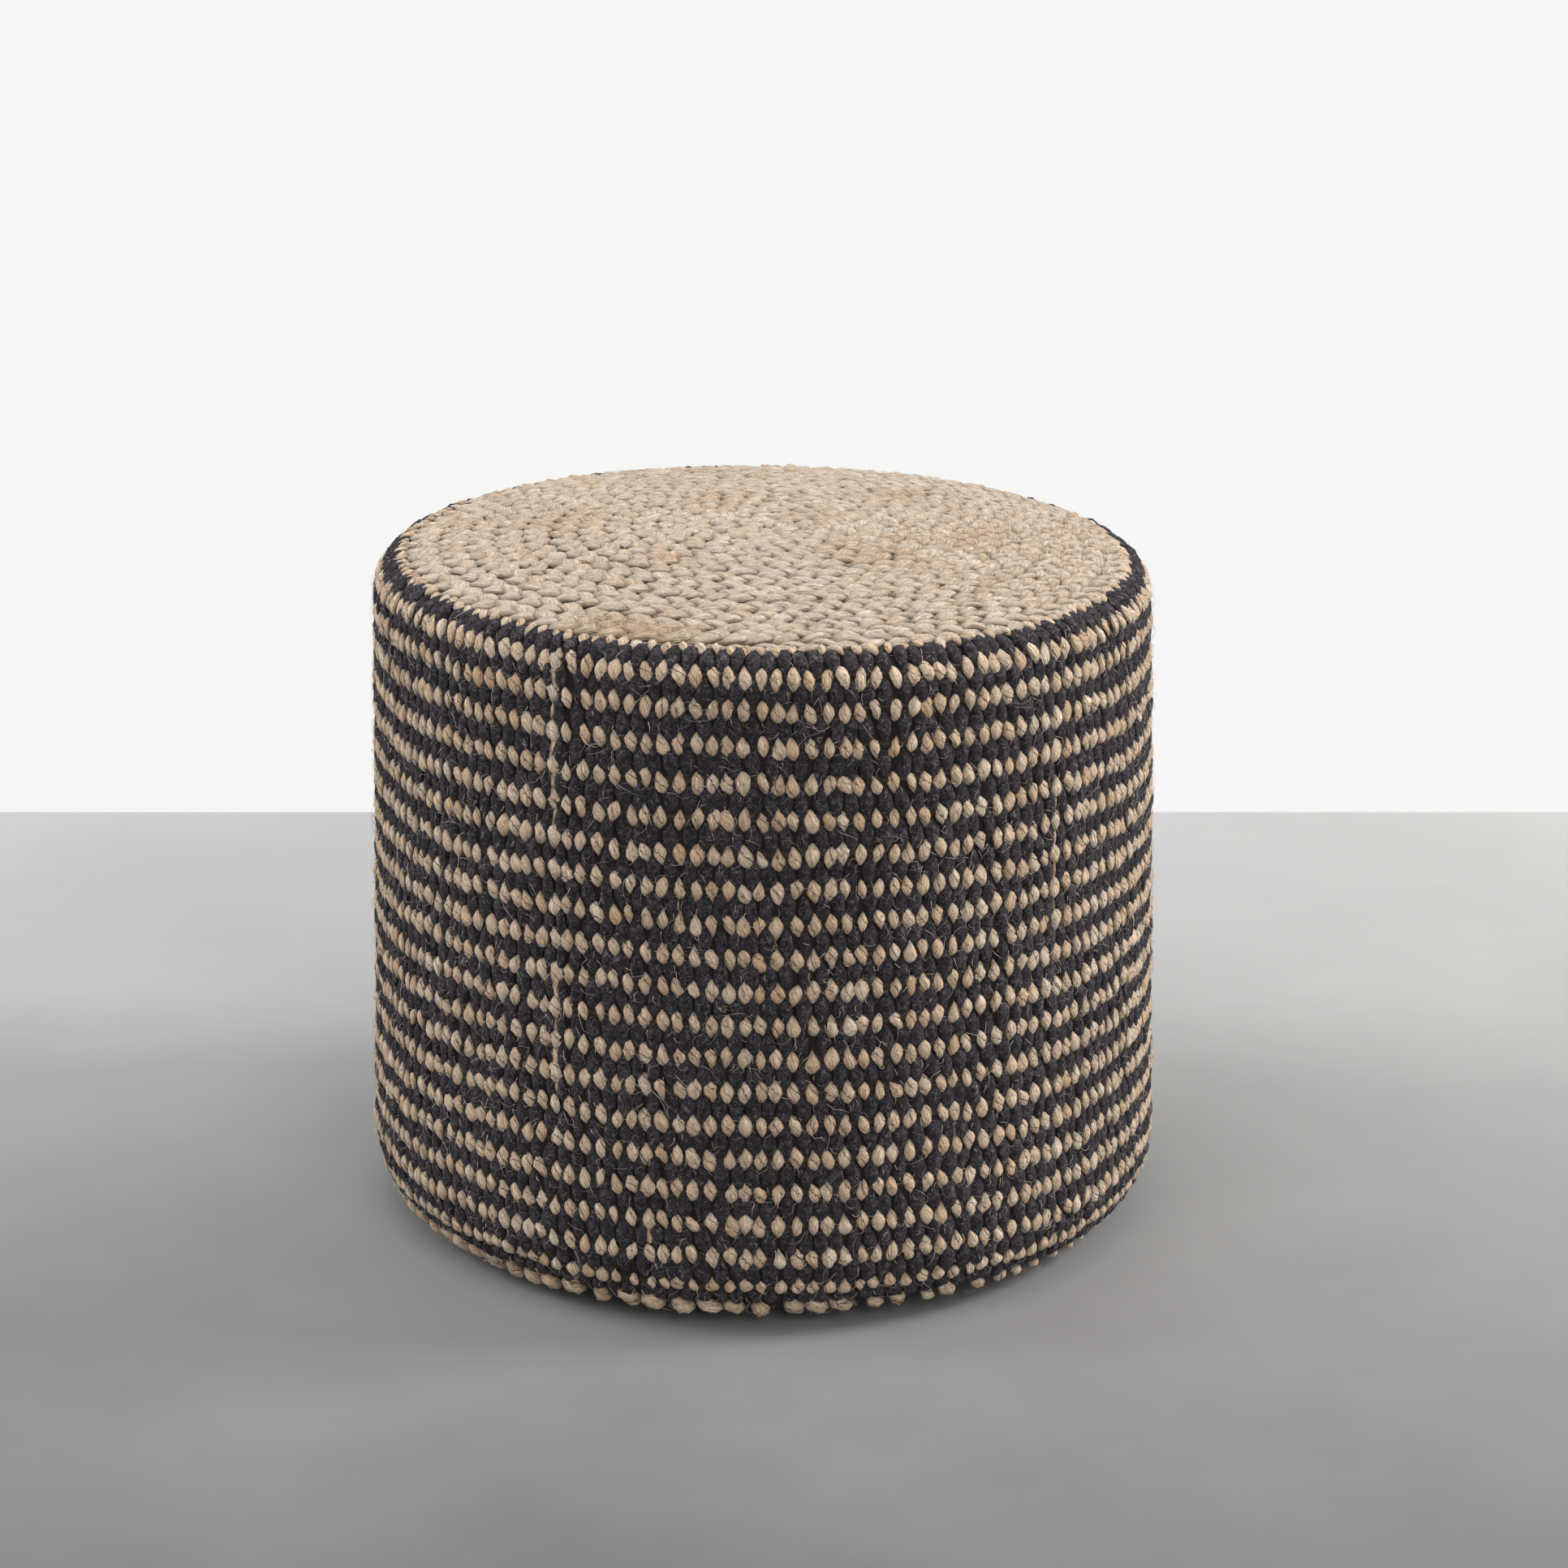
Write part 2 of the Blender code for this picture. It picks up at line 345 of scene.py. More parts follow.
def tubes_mesh(name, rings, marks, rows_per_tile):
    """One mesh of many closed yarn pieces, rings (tubes, rings, around, 3), with a tiled map.
    Marks are values of the same leading shape. Each tile of the map holds a run of rings."""
    tubes, count, around = rings.shape[:3]
    each = count * around + 2

    def with_tips(values):
        tips = values[:, [0, -1]].mean(axis=2)
        flat = values.reshape(tubes, count * around, *values.shape[3:])
        return np.concatenate((flat, tips), axis=1).reshape(tubes * each, *values.shape[3:])

    step = np.arange(around)
    after = (step + 1) % around
    base = (np.arange(tubes) * each)[:, None, None]
    row = (np.arange(count - 1) * around)[None, :, None]
    quads = np.stack((base + row + step, base + row + after,
                      base + row + around + after, base + row + around + step), axis=-1)
    tip = base[:, :, 0] + count * around
    last = base[:, :, 0] + (count - 1) * around
    wide = np.ones(around, int)
    head = np.stack((tip * wide, base[:, :, 0] + after, base[:, :, 0] + step), axis=-1)
    tail = np.stack(((tip + 1) * wide, last + step, last + after), axis=-1)
    mesh = mesh_of(name, with_tips(rings), quads, np.concatenate((head, tail)))
    for label, values in marks.items():
        mark(mesh, label, with_tips(values))

    # The map: across a tile is round the yarn, up it is along the yarn, with a margin left clear
    margin = 0.06
    filled = 1.0 - 2.0 * margin
    rows = count + 1
    tiles = math.ceil(tubes * rows / rows_per_tile)
    grid = math.ceil(math.sqrt(tiles))

    def in_tile(face_row, around_share, row_line):
        tile = face_row // rows_per_tile
        up = (row_line - tile * rows_per_tile) / rows_per_tile
        return np.stack(((tile % grid + margin + filled * around_share) / grid,
                         (tile // grid + margin + filled * up) / grid), axis=-1)

    def spread(values, shape):
        return np.broadcast_to(values, shape)

    shape = (tubes, count - 1, around, 4)
    line = (np.arange(tubes) * rows)[:, None, None, None]
    face_row = spread(line + np.arange(1, count)[:, None, None], shape)
    quad_places = in_tile(face_row,
                          spread(np.stack((step, step + 1, step + 1, step), -1) / around, shape),
                          face_row + np.array([0, 0, 1, 1]))
    shape = (tubes, around, 3)
    line = line[:, 0]
    first_row = spread(line, shape)
    last_row = spread(line + count, shape)
    head_places = in_tile(first_row,
                          spread(np.stack((step + 0.5, step + 1, step), -1) / around, shape),
                          first_row + np.array([0, 1, 1]))
    tail_places = in_tile(last_row,
                          spread(np.stack((step + 0.5, step, step + 1), -1) / around, shape),
                          last_row + np.array([1, 0, 0]))
    places = np.concatenate([part.reshape(-1, 2) for part in (quad_places, head_places, tail_places)])
    mesh.uv_layers.new(name="OFBake").uv.foreach_set("vector", places.astype(np.float32).ravel())
    return mesh


def radius_down(down):
    """Radius of the drum at a distance down the band."""
    return np.interp(down, dense_down, dense_radius)


def lay_bumps(name, finish, angle, down, length, width, depth, lift, lean, tone, stations, spokes,
              flatness, ends, twist, groove, rough, uneven, dice):
    """One piece of short yarn bumps lying down the band, one bump for each angle and down.
    Flatness and ends shape the outline from the side: how long it stays full, how blunt it ends."""
    count = len(angle)
    size = (count, len(stations), len(spokes))

    def each(values):
        return np.asarray(values)[..., None, None] * np.ones(1)

    skew = uneven * dice.normal(size=count).clip(-2, 2)
    station = stations[None, :, None]
    place = station + each(skew) * (1.0 - station ** 2)
    bluntness = ends * (1.0 + uneven * dice.normal(size=count).clip(-1.8, 1.8))
    full = (1.0 - np.abs(place) ** flatness) ** each(bluntness)
    along = 0.5 * each(length) * station + np.zeros(size)

    # Two plies: a groove on each side of the bump winds along it, some deep and some closed up
    turning = twist * dice.uniform(0.6, 1.5, count)
    winding = each(dice.uniform(0.0, math.pi, count)) - each(turning) * along
    depth_of_groove = groove * np.clip(dice.normal(0.65, 0.4, count), 0.0, 1.0)
    plies = 1.0 - 0.36 * each(depth_of_groove) * np.abs(np.cos(spokes - winding)) ** 6
    plies = plies * (1.0 + rough * dice.normal(size=size))

    # The bump lies on the drum and dives at both ends; lean turns it about its own middle
    across = 0.5 * each(width) * full * np.cos(spokes) * plies
    outward = 0.5 * each(depth) * full ** 0.7 * np.sin(spokes) * plies
    dive = 0.16 * each(depth) * station ** 2
    sideways = across * np.cos(each(lean)) + along * np.sin(each(lean))
    downward = along * np.cos(each(lean)) - across * np.sin(each(lean))
    rings = on_drum(each(angle) + sideways / radius_down(each(down)), each(down) + downward,
                    each(lift) - 0.5 * each(depth) - dive + outward)

    # For the finish: a place in the yarn in millimetres, and where the surface is on the bump
    seed = each(dice.uniform(0.0, 900.0, count))
    fibre_angle = spokes + each(dice.normal(75.0, 55.0, count)) * along
    marks = {
        "yarn": np.stack((500.0 * each(width) * np.cos(fibre_angle), 1000.0 * along + seed,
                          500.0 * each(depth) * np.sin(fibre_angle)), axis=-1),
        "ply": np.stack((np.cos(spokes) + np.zeros(size), np.sin(spokes) + np.zeros(size),
                         winding), axis=-1),
        "tone": np.broadcast_to(each(tone), size),
        "groove": np.broadcast_to(each(depth_of_groove), size),
        # Crest sets painted shade down the bump's sides and towards its ends
        "crest": 0.5 + 0.5 * np.sin(spokes) * full,
    }
    return place_piece(name, tubes_mesh(name, rings, marks, len(stations) + 1), finish)


COLUMNS = 156                                # upright jute yarns round the drum
COLUMN_DRIFT = 0.0052                        # radians, over a hand's width
COLUMN_WOBBLE = 0.0025                       # radians, from one bump to the next
COURSE_TILT = 0.0022                         # courses ride lower at +X by this and higher at -X
COURSE_SAG = 0.0012                          # and sag most near the sixth course
COURSE_WOBBLE = 0.0007


def column_angle(column, down):
    """Angle of a column: the jute yarns drift a little sideways down the drum, and so does the wool."""
    even = 2.0 * math.pi * column / COLUMNS
    drift = COLUMN_DRIFT * ripple(even, down, 21, 40, 0.16)
    return even + drift + COLUMN_WOBBLE * ripple(even, down, 22, 90, 0.08)


def course_down(course, angle):
    """Place of a course down the band: all ride a little lower than evenly spaced."""
    even = FIRST_COURSE + COURSE_PITCH * course
    sag = COURSE_DROP + COURSE_TILT * np.sin(angle + math.radians(95.0))
    sag = sag * (0.4 + 0.6 * smooth_step(course, 1.0, 5.0))
    sag = sag + COURSE_SAG * np.exp(-((course - 6.5) / 2.5) ** 2)
    return even + sag + COURSE_WOBBLE * ripple(angle, even, 23, 12, 0.12)


# Yarns that have slipped and part the wool: degrees round the drum, how much, first and last course
SLIPPED_YARNS = (
    (-119, 1.9, 0, 13), (-116.6, 1.2, 6, 19), (-126.5, 0.9, 5, 12), (-107, 1.8, 12, 17),
    (-92, 0.5, 0, 7), (-84, 0.8, 3, 12), (-78, 0.6, 12, 19), (-57, 0.8, 5, 10),
    (-44, 0.6, 0, 19), (-20, 0.8, 6, 19), (15, 0.9, 0, 12), (52, 0.7, 4, 19), (88, 1.2, 3, 15),
    (117, 0.6, 0, 9), (149, 0.9, 8, 19), (-170, 0.9, 2, 11), (-148, 0.6, 4, 16))
slipped = np.zeros((COURSES + 2, COLUMNS))
for at, amount, first, last in SLIPPED_YARNS:
    slipped[first:last + 1, int(round(at / 360.0 * COLUMNS)) % COLUMNS] = amount
column_degrees = 360.0 * np.arange(COLUMNS) / COLUMNS


def near(degrees, middle, reach):
    """1 at an angle round the drum, falling smoothly to 0 beside it."""
    beside = (degrees - middle + 180.0) % 360.0 - 180.0
    return np.exp(-(beside / reach) ** 2)


# Round the drum the yarns run fuller in some stretches and thinner in others
dice = np.random.default_rng(31)
full_stretch = (near(column_degrees, -127.0, 9.0) + near(column_degrees, -50.0, 16.0)
                + near(column_degrees, 100.0, 20.0))
yarn_fatness = (1.0 + 0.06 * dice.normal(size=COLUMNS).clip(-2, 2) + 0.07 * full_stretch
                - 0.13 * near(column_degrees, -113.0, 7.0) - 0.12 * near(column_degrees, -66.0, 8.0))
yarn_tone = dice.normal(0.0, 0.12, COLUMNS)

COLUMN_PITCH = 0.01010                       # from one column to the next where the widths hold
BUMP_SCATTER = 0.00065                       # single bumps lie this far up or down of their course
PARTING_SWELL = 0.14                         # how much fatter a slipped yarn's bumps are
courses, columns = np.meshgrid(np.arange(1, COURSES + 1), np.arange(COLUMNS), indexing="ij")
courses, columns = courses.ravel(), columns.ravel()
even_down = FIRST_COURSE + COURSE_PITCH * courses
bump_angle = column_angle(columns, even_down)
bump_down = course_down(courses, bump_angle) + dice.normal(0.0, BUMP_SCATTER, len(courses))
local_pitch = radius_down(bump_down) * 2.0 * math.pi / COLUMNS / COLUMN_PITCH
fat = yarn_fatness[columns] + PARTING_SWELL * slipped[courses, columns]
fat = fat * (1.0 + 0.075 * ripple(bump_angle, bump_down, 32, 70, 0.11)
             + 0.055 * dice.normal(size=len(courses)).clip(-2, 2))
rim_row = courses == 1                       # drawn long over the rim
foot_row = courses == COURSES                # cut short by the foot's stitches
bump_tone = np.clip(0.42 + yarn_tone[columns] + 0.17 * ripple(bump_angle, bump_down, 33, 60, 0.07)
                    + 0.17 * dice.normal(size=len(courses)), 0.0, 1.0)
bump_tone = np.clip(bump_tone - 0.10 * slipped[courses, columns], 0.0, 1.0)


def new_group(name, given_in, given_out):
    """A shader node group with named inputs and outputs; returns it with its two ends."""
    group = bpy.data.node_groups.new(name, "ShaderNodeTree")
    for label, kind in given_in:
        group.interface.new_socket(label, in_out="INPUT", socket_type="NodeSocket" + kind)
    for label, kind in given_out:
        group.interface.new_socket(label, in_out="OUTPUT", socket_type="NodeSocket" + kind)
    return group, group.nodes.new("NodeGroupInput").outputs, group.nodes.new("NodeGroupOutput").inputs


def use_group(tree, group, values):
    """Places a node group in a material with its values; returns its outputs."""
    node = tree.nodes.new("ShaderNodeGroup")
    node.node_tree = group
    for socket, value in values.items():
        if isinstance(value, bpy.types.NodeSocket):
            tree.links.new(value, node.inputs[socket])
        else:
            node.inputs[socket].default_value = value
    return node.outputs


# Fibres that run along a yarn, a little astray by the wander in millimetres: fine streaks, and
# the thicker clumps that they hang together in
fibre_streaks, taken, given = new_group(
    "fibre_streaks",
    (("Yarn Place", "Vector"), ("Fibres per Millimetre", "Float"), ("Fibre Length", "Float"),
     ("Wander", "Float")),
    (("Streak", "Float"), ("Clump", "Float")))
run = add(fibre_streaks, "Math", {0: 1.0, 1: taken["Fibre Length"]}, operation="DIVIDE").outputs[0]
stretch = add(fibre_streaks, "CombineXYZ", {"X": taken["Fibres per Millimetre"], "Y": run,
                                            "Z": taken["Fibres per Millimetre"]}).outputs[0]
astray = add(fibre_streaks, "TexNoise", {"Vector": taken["Yarn Place"], "Scale": 0.24, "Detail": 1.0})
astray = add(fibre_streaks, "VectorMath", {0: astray.outputs["Color"], 1: (0.5, 0.5, 0.5)},
             operation="SUBTRACT").outputs[0]
wander = add(fibre_streaks, "VectorMath", {0: astray, "Scale": taken["Wander"]},
             operation="SCALE").outputs[0]
wandering = add(fibre_streaks, "VectorMath", {0: taken["Yarn Place"], 1: wander},
                operation="ADD").outputs[0]
thread = add(fibre_streaks, "VectorMath", {0: wandering, 1: stretch}, operation="MULTIPLY").outputs[0]
fine = add(fibre_streaks, "TexNoise", {"Vector": thread, "Scale": 1.0, "Detail": 1.5,
                                       "Roughness": 0.6, "Distortion": 0.08})
coarse = add(fibre_streaks, "TexNoise", {"Vector": thread, "Scale": 0.45, "Detail": 0.5})
fibre_streaks.links.new(ramp(fibre_streaks, fine.outputs["Fac"], 0.38, 0.60), given["Streak"])
fibre_streaks.links.new(ramp(fibre_streaks, coarse.outputs["Fac"], 0.38, 0.62), given["Clump"])

# Fine hairs that curl over a yarn: thin crooked lines, broken up into short lengths
curled_hairs, taken, given = new_group(
    "curled_hairs",
    (("Place", "Vector"), ("Curls per Metre", "Float"), ("Thickness", "Float")),
    (("Hair", "Float"),))
field = add(curled_hairs, "TexNoise", {"Vector": taken["Place"], "Scale": taken["Curls per Metre"],
                                       "Detail": 1.0, "Distortion": 0.8}).outputs["Fac"]
off_line = add(curled_hairs, "Math", {0: field, 1: 0.5}, operation="SUBTRACT").outputs[0]
off_line = add(curled_hairs, "Math", {0: off_line}, operation="ABSOLUTE").outputs[0]
line = add(curled_hairs, "Math", {0: off_line, 1: taken["Thickness"]}, operation="DIVIDE").outputs[0]
broken = add(curled_hairs, "TexNoise", {"Vector": taken["Place"], "Scale": taken["Curls per Metre"],
                                        "Detail": 0.0}).outputs["Fac"]
shown = add(curled_hairs, "Math", {0: ramp(curled_hairs, line, 1.0, 0.4),
                                   1: ramp(curled_hairs, broken, 0.48, 0.56)}, operation="MULTIPLY")
curled_hairs.links.new(shown.outputs[0], given["Hair"])

PALE_JUTE = (0.94, 0.775, 0.600, 1)
TAN_JUTE = (0.78, 0.515, 0.300, 1)
DEEP_JUTE = (0.13, 0.080, 0.045, 1)          # in the gaps between fibres, and as painted shade between plies and at the sides
material, tree, shader = new_finish("jute_yarn", 0.88, 0.25)
fibre = use_group(tree, fibre_streaks, {"Yarn Place": marked(tree, "yarn", "Vector"),
                                        "Fibres per Millimetre": 1.7, "Fibre Length": 13.0,
                                        "Wander": 0.9})
ply = add(tree, "SeparateXYZ", {"Vector": marked(tree, "ply", "Vector")})
around_yarn = add(tree, "Math", {0: ply.outputs["Y"], 1: ply.outputs["X"]}, operation="ARCTAN2")
from_groove = add(tree, "Math", {0: around_yarn.outputs[0], 1: ply.outputs["Z"]}, operation="SUBTRACT")
wander = ramp(tree, fibre["Clump"], 0.0, 1.0, -0.14, 0.14)
from_groove = add(tree, "Math", {0: from_groove.outputs[0], 1: wander}, operation="ADD")
nearness = add(tree, "Math", {0: from_groove.outputs[0]}, operation="COSINE")
nearness = add(tree, "Math", {0: nearness.outputs[0]}, operation="ABSOLUTE").outputs[0]
# The groove between the plies: a relief, and a thin dark line of painted shade in the colour
ply_groove_and_shade = add(tree, "Math", {0: ramp(tree, nearness, 0.984, 0.9990), 1: marked(tree, "groove")},
                    operation="MULTIPLY").outputs[0]
curls = use_group(tree, curled_hairs, {"Place": add(tree, "TexCoord", {}).outputs["Object"],
                                       "Curls per Metre": 260.0, "Thickness": 0.035})
# Pale to tan by tone and clumps; deep fibre gaps and hairs; painted shade between plies and down the
# sides
body_colour = tint(tree, marked(tree, "tone"), PALE_JUTE, TAN_JUTE)
body_colour = tint(tree, ramp(tree, fibre["Clump"], 0.3, 1.0, 0.0, 0.55), body_colour, TAN_JUTE)
body_colour = tint(tree, ramp(tree, fibre["Streak"], 0.50, 0.0, 0.0, 0.50), body_colour, DEEP_JUTE)
body_colour = tint(tree, ramp(tree, curls["Hair"], 0.0, 1.0, 0.0, 0.55), body_colour, DEEP_JUTE)
body_colour = tint(tree, ramp(tree, ply_groove_and_shade, 0.0, 0.8, 0.0, 0.92), body_colour, DEEP_JUTE)
body_colour = tint(tree, ramp(tree, marked(tree, "crest"), 0.78, 0.36, 0.0, 0.54), body_colour, DEEP_JUTE)
height = add(tree, "Math", {0: fibre["Streak"], 1: fibre["Clump"]}, operation="ADD").outputs[0]
height = add(tree, "Math", {0: height, 1: ply_groove_and_shade}, operation="SUBTRACT").outputs[0]
surface(tree, shader, body_colour, height)
jute_yarn = material

HALF_WAY = 10                                # the band's two halves part at this course
bump_length = JUTE_LENGTH * (0.4 + 0.6 * fat) * (1.0 + 0.24 * rim_row - 0.18 * foot_row)
for name, shown in (("jute_bumps_upper", courses <= HALF_WAY), ("jute_bumps_lower", courses > HALF_WAY)):
    dice = np.random.default_rng(34 + int(courses[shown][0]))
    lay_bumps(
        name, jute_yarn, bump_angle[shown], bump_down[shown] + 0.0006 * rim_row[shown],
        length=bump_length[shown], width=JUTE_WIDTH * fat[shown] * local_pitch[shown],
        depth=JUTE_DEPTH * fat[shown] ** 1.5,
        lift=0.0004 * dice.normal(size=shown.sum()),
        lean=np.radians(dice.normal(3.0, 10.0, shown.sum())
                        + 9.0 * near(column_degrees[columns[shown]], -138.0, 28.0)),
        tone=bump_tone[shown], stations=FINE_STATIONS, spokes=FINE_SPOKES, flatness=1.85, ends=0.80,
        twist=1.3 * PLY_TURN, groove=1.15, rough=0.05, uneven=0.19, dice=dice)

# Slipped yarns, seen in the gaps where a fat yarn parts the wool; tanner and darker, partly painted shade
dice = np.random.default_rng(41)
parted = slipped[courses, columns] * (courses < COURSES)
open_at = parted * (0.7 + 0.4 * ripple(bump_angle, bump_down, 42, 30, 0.25)) > 0.74
slip_count = int(open_at.sum())
lay_bumps(
    "slipped_yarns", jute_yarn, bump_angle[open_at], bump_down[open_at] + 0.5 * COURSE_PITCH,
    length=np.full(slip_count, 0.0135),
    width=0.0010 + 0.0024 * parted[open_at] * dice.uniform(0.7, 1.2, slip_count),
    depth=np.full(slip_count, 0.0042), lift=-0.0021 + 0.0004 * dice.normal(size=slip_count),
    lean=np.radians(dice.normal(0.0, 8.0, slip_count)),
    tone=np.clip(bump_tone[open_at] + 0.55, 0.0, 1.0), stations=PLAIN_STATIONS, spokes=PLAIN_SPOKES,
    flatness=4.0, ends=0.5, twist=PLY_TURN * 1.6, groove=0.9, rough=0.08, uneven=0.2, dice=dice)

# ---------------------------------------------------------------------------------------------
# Wool bumps of the band: soft charcoal yarns in the columns between the jute ones. They come
# over the weft in the courses that the jute passes behind, and fill them from side to side.
# ---------------------------------------------------------------------------------------------
WOOL_WIDTH = 0.0108
WOOL_LENGTH = 0.0210
WOOL_DEPTH = 0.0066
WOOL_DARK = (0.0060, 0.0046, 0.0058, 1)
WOOL_LIT = (0.073, 0.0565, 0.072, 1)
TUFT_GAP_SHADE = (0.0060, 0.0050, 0.0056, 1)
COOL_WOOL = (0.0115, 0.0105, 0.0130, 1)      # yarns of a slightly bluer dye
WOOL_HAIR = (0.175, 0.160, 0.155, 1)
WOOL_SIDE_SHADE = (0.0036, 0.0030, 0.0033, 1)

material, tree, shader = new_finish("charcoal_wool", 0.97, 0.08)
where = add(tree, "TexCoord", {}).outputs["Object"]
fluff = add(tree, "TexNoise", {"Vector": where, "Scale": 430.0, "Detail": 3.0, "Roughness": 0.65,
                               "Distortion": 1.2})
tuft = add(tree, "TexNoise", {"Vector": where, "Scale": 180.0, "Detail": 2.0, "Roughness": 0.6})
hairs = use_group(tree, curled_hairs, {"Place": where, "Curls per Metre": 250.0, "Thickness": 0.042})
# Dark to lit by the fluff: its own tone, and painted shade and highlight on the fluff's relief;
# painted shade between tufts and down the sides, with paler hairs on it
wool_colour = tint(tree, ramp(tree, fluff.outputs["Fac"], 0.43, 0.58), WOOL_DARK, WOOL_LIT)
wool_colour = tint(tree, ramp(tree, tuft.outputs["Fac"], 0.48, 0.36, 0.0, 0.65), wool_colour, TUFT_GAP_SHADE)
wool_colour = tint(tree, ramp(tree, marked(tree, "tone"), 0.0, 1.0, 0.0, 0.35), wool_colour, COOL_WOOL)
wool_colour = tint(tree, ramp(tree, hairs["Hair"], 0.0, 1.0, 0.0, 0.70), wool_colour, WOOL_HAIR)
wool_colour = tint(tree, ramp(tree, marked(tree, "crest"), 0.56, 0.34, 0.0, 0.80), wool_colour, WOOL_SIDE_SHADE)
height = add(tree, "Math", {0: fluff.outputs["Fac"], 1: tuft.outputs["Fac"]}, operation="ADD").outputs[0]
surface(tree, shader, wool_colour, height, distance=0.0040)
charcoal_wool = material

dice = np.random.default_rng(51)
courses, columns = np.meshgrid(np.arange(COURSES + 1), np.arange(COLUMNS), indexing="ij")
courses, columns = courses.ravel(), columns.ravel()
even_down = FIRST_COURSE + COURSE_PITCH * (courses + 0.5)
wool_angle = column_angle(columns + 0.5, even_down)
wool_down = course_down(courses + 0.5, wool_angle) + dice.normal(0.0, 0.0004, len(courses))
local_pitch = radius_down(wool_down) * 2.0 * math.pi / COLUMNS / COLUMN_PITCH
crowding = slipped[courses, columns] + slipped[courses, (columns + 1) % COLUMNS]
fat = (1.0 - 0.13 * crowding) * (1.0 + 0.05 * ripple(wool_angle, wool_down, 52, 70, 0.10)
                                 + 0.045 * dice.normal(size=len(courses)).clip(-2, 2))
top_row = courses == 0                       # turned over the rim
last_row = courses == COURSES                # cut short by the foot's stitches
wool_tone = np.clip(0.4 + 0.2 * ripple(wool_angle, wool_down, 53, 20, 0.2)
                    + 0.25 * dice.normal(size=len(courses)), 0.0, 1.0)
bump_length = WOOL_LENGTH * (0.6 + 0.4 * fat) * (1.0 - 0.30 * last_row + 0.10 * top_row)
for name, shown in (("wool_bumps_upper", courses < HALF_WAY), ("wool_bumps_lower", courses >= HALF_WAY)):
    dice = np.random.default_rng(54 + int(courses[shown][0]))
    lay_bumps(
        name, charcoal_wool,
        wool_angle[shown], wool_down[shown] - 0.0012 * last_row[shown] - 0.0018 * top_row[shown],
        length=bump_length[shown],
        width=WOOL_WIDTH * fat[shown] * local_pitch[shown] * (1.0 + 0.03 * top_row[shown]),
        depth=WOOL_DEPTH * fat[shown],
        lift=-0.0006 + 0.0004 * dice.normal(size=shown.sum()) + 0.0008 * top_row[shown],
        lean=np.radians(dice.normal(2.0, 5.0, shown.sum())),
        tone=wool_tone[shown], stations=PLAIN_STATIONS, spokes=PLAIN_SPOKES, flatness=2.3, ends=0.72,
        twist=PLY_TURN * 0.6, groove=0.45, rough=0.105, uneven=0.2, dice=dice)

# ---------------------------------------------------------------------------------------------
# Stitches at the two edges of the band: fat loops of jute overcast the foot of the band, where
# it turns under, and small loops at the top catch it to the edge of the braided mat.
# ---------------------------------------------------------------------------------------------
FOOT_STITCHES = 88
STITCHES_DOWN = 0.4330                       # where they lie down the band, at the floor
dice = np.random.default_rng(61)
stitch = np.arange(FOOT_STITCHES)
stitch_degrees = 360.0 * (stitch + 0.14 * dice.normal(size=FOOT_STITCHES).clip(-1.2, 1.2)) / FOOT_STITCHES
sparse = np.clip(near(stitch_degrees, -12.0, 52.0) * 1.4, 0.0, 1.0)    # sewn thinner at the right
stitch_size = dice.uniform(0.82, 1.14, FOOT_STITCHES)
stitch_size = stitch_size * (1.0 - 0.48 * sparse * dice.uniform(0.6, 1.2, FOOT_STITCHES))
lay_bumps(
    "foot_stitches", jute_yarn,
    np.radians(stitch_degrees), STITCHES_DOWN + dice.normal(0.0, 0.0008, FOOT_STITCHES),
    length=0.0195 * stitch_size, width=0.0142 * stitch_size, depth=0.0125 * stitch_size,
    lift=0.0026 - 0.0026 * sparse + dice.normal(0.0, 0.0003, FOOT_STITCHES),
    lean=np.radians(dice.normal(30.0, 12.0, FOOT_STITCHES)),
    tone=np.clip(0.60 + 0.2 * dice.normal(size=FOOT_STITCHES), 0.0, 1.0),
    stations=FINE_STATIONS, spokes=FINE_SPOKES, flatness=2.5, ends=0.5, twist=150.0, groove=1.1,
    rough=0.08, uneven=0.15, dice=dice)

LOOPS_SEWN = 0.92                            # the share of columns whose loop shows
LOOPS_DOWN = 0.0066                          # where they lie down the band, at the mat's edge
dice = np.random.default_rng(62)
loop = np.flatnonzero(dice.random(COLUMNS) < LOOPS_SEWN)
loop_count = len(loop)
loop_size = dice.uniform(0.75, 1.1, loop_count)
lay_bumps(
    "edge_loops", jute_yarn,
    column_angle(loop, FIRST_COURSE), LOOPS_DOWN + dice.normal(0.0, 0.0010, loop_count),
    length=0.0150 * loop_size, width=0.0076 * loop_size, depth=0.0055 * loop_size,
    lift=0.0002 + dice.normal(0.0, 0.0004, loop_count),
    lean=np.radians(dice.normal(10.0, 14.0, loop_count)),
    tone=np.clip(0.45 + 0.25 * dice.normal(size=loop_count), 0.0, 1.0),
    stations=PLAIN_STATIONS, spokes=PLAIN_SPOKES, flatness=2.0, ends=0.8, twist=PLY_TURN,
    groove=0.8, rough=0.08, uneven=0.25, dice=dice)

# ---------------------------------------------------------------------------------------------
# Braided mat: one long flat braid of three loose jute strands, wound from the middle outwards
# and sewn turn to turn on a thin jute backing. Its outer end is tucked down, front left.
# ---------------------------------------------------------------------------------------------
BRAID_TURNS = 14
BRAID_END_ANGLE = math.radians(-128.0)
BRAID_REPEAT = 0.050                         # length in which a strand comes back to its edge
CENTRE_SHIFT = (0.014, 0.012)                # the winding starts a little off the middle
BRAID_EDGE = 0.0044                          # the last turn stands this far past the mat's edge
WINDING_START = -0.44                        # turns; the start is tucked into the middle
WINDING_POINTS = 24000
RING_STEP = 0.0029                           # from one ring of a strand to the next
STRAND_WIDTH = 0.0105
STRAND_DEPTH = 0.0053
STRAND_RISE = 0.0015                         # how far a strand climbs over the others
MAT_SHIFT = 0.0038                           # the mat is sewn on a touch towards +X
STRANDS_DOWN = 0.0030                        # the strands' middle lies this far under the top
braid_pitch = (mat_radius + BRAID_EDGE) / BRAID_TURNS

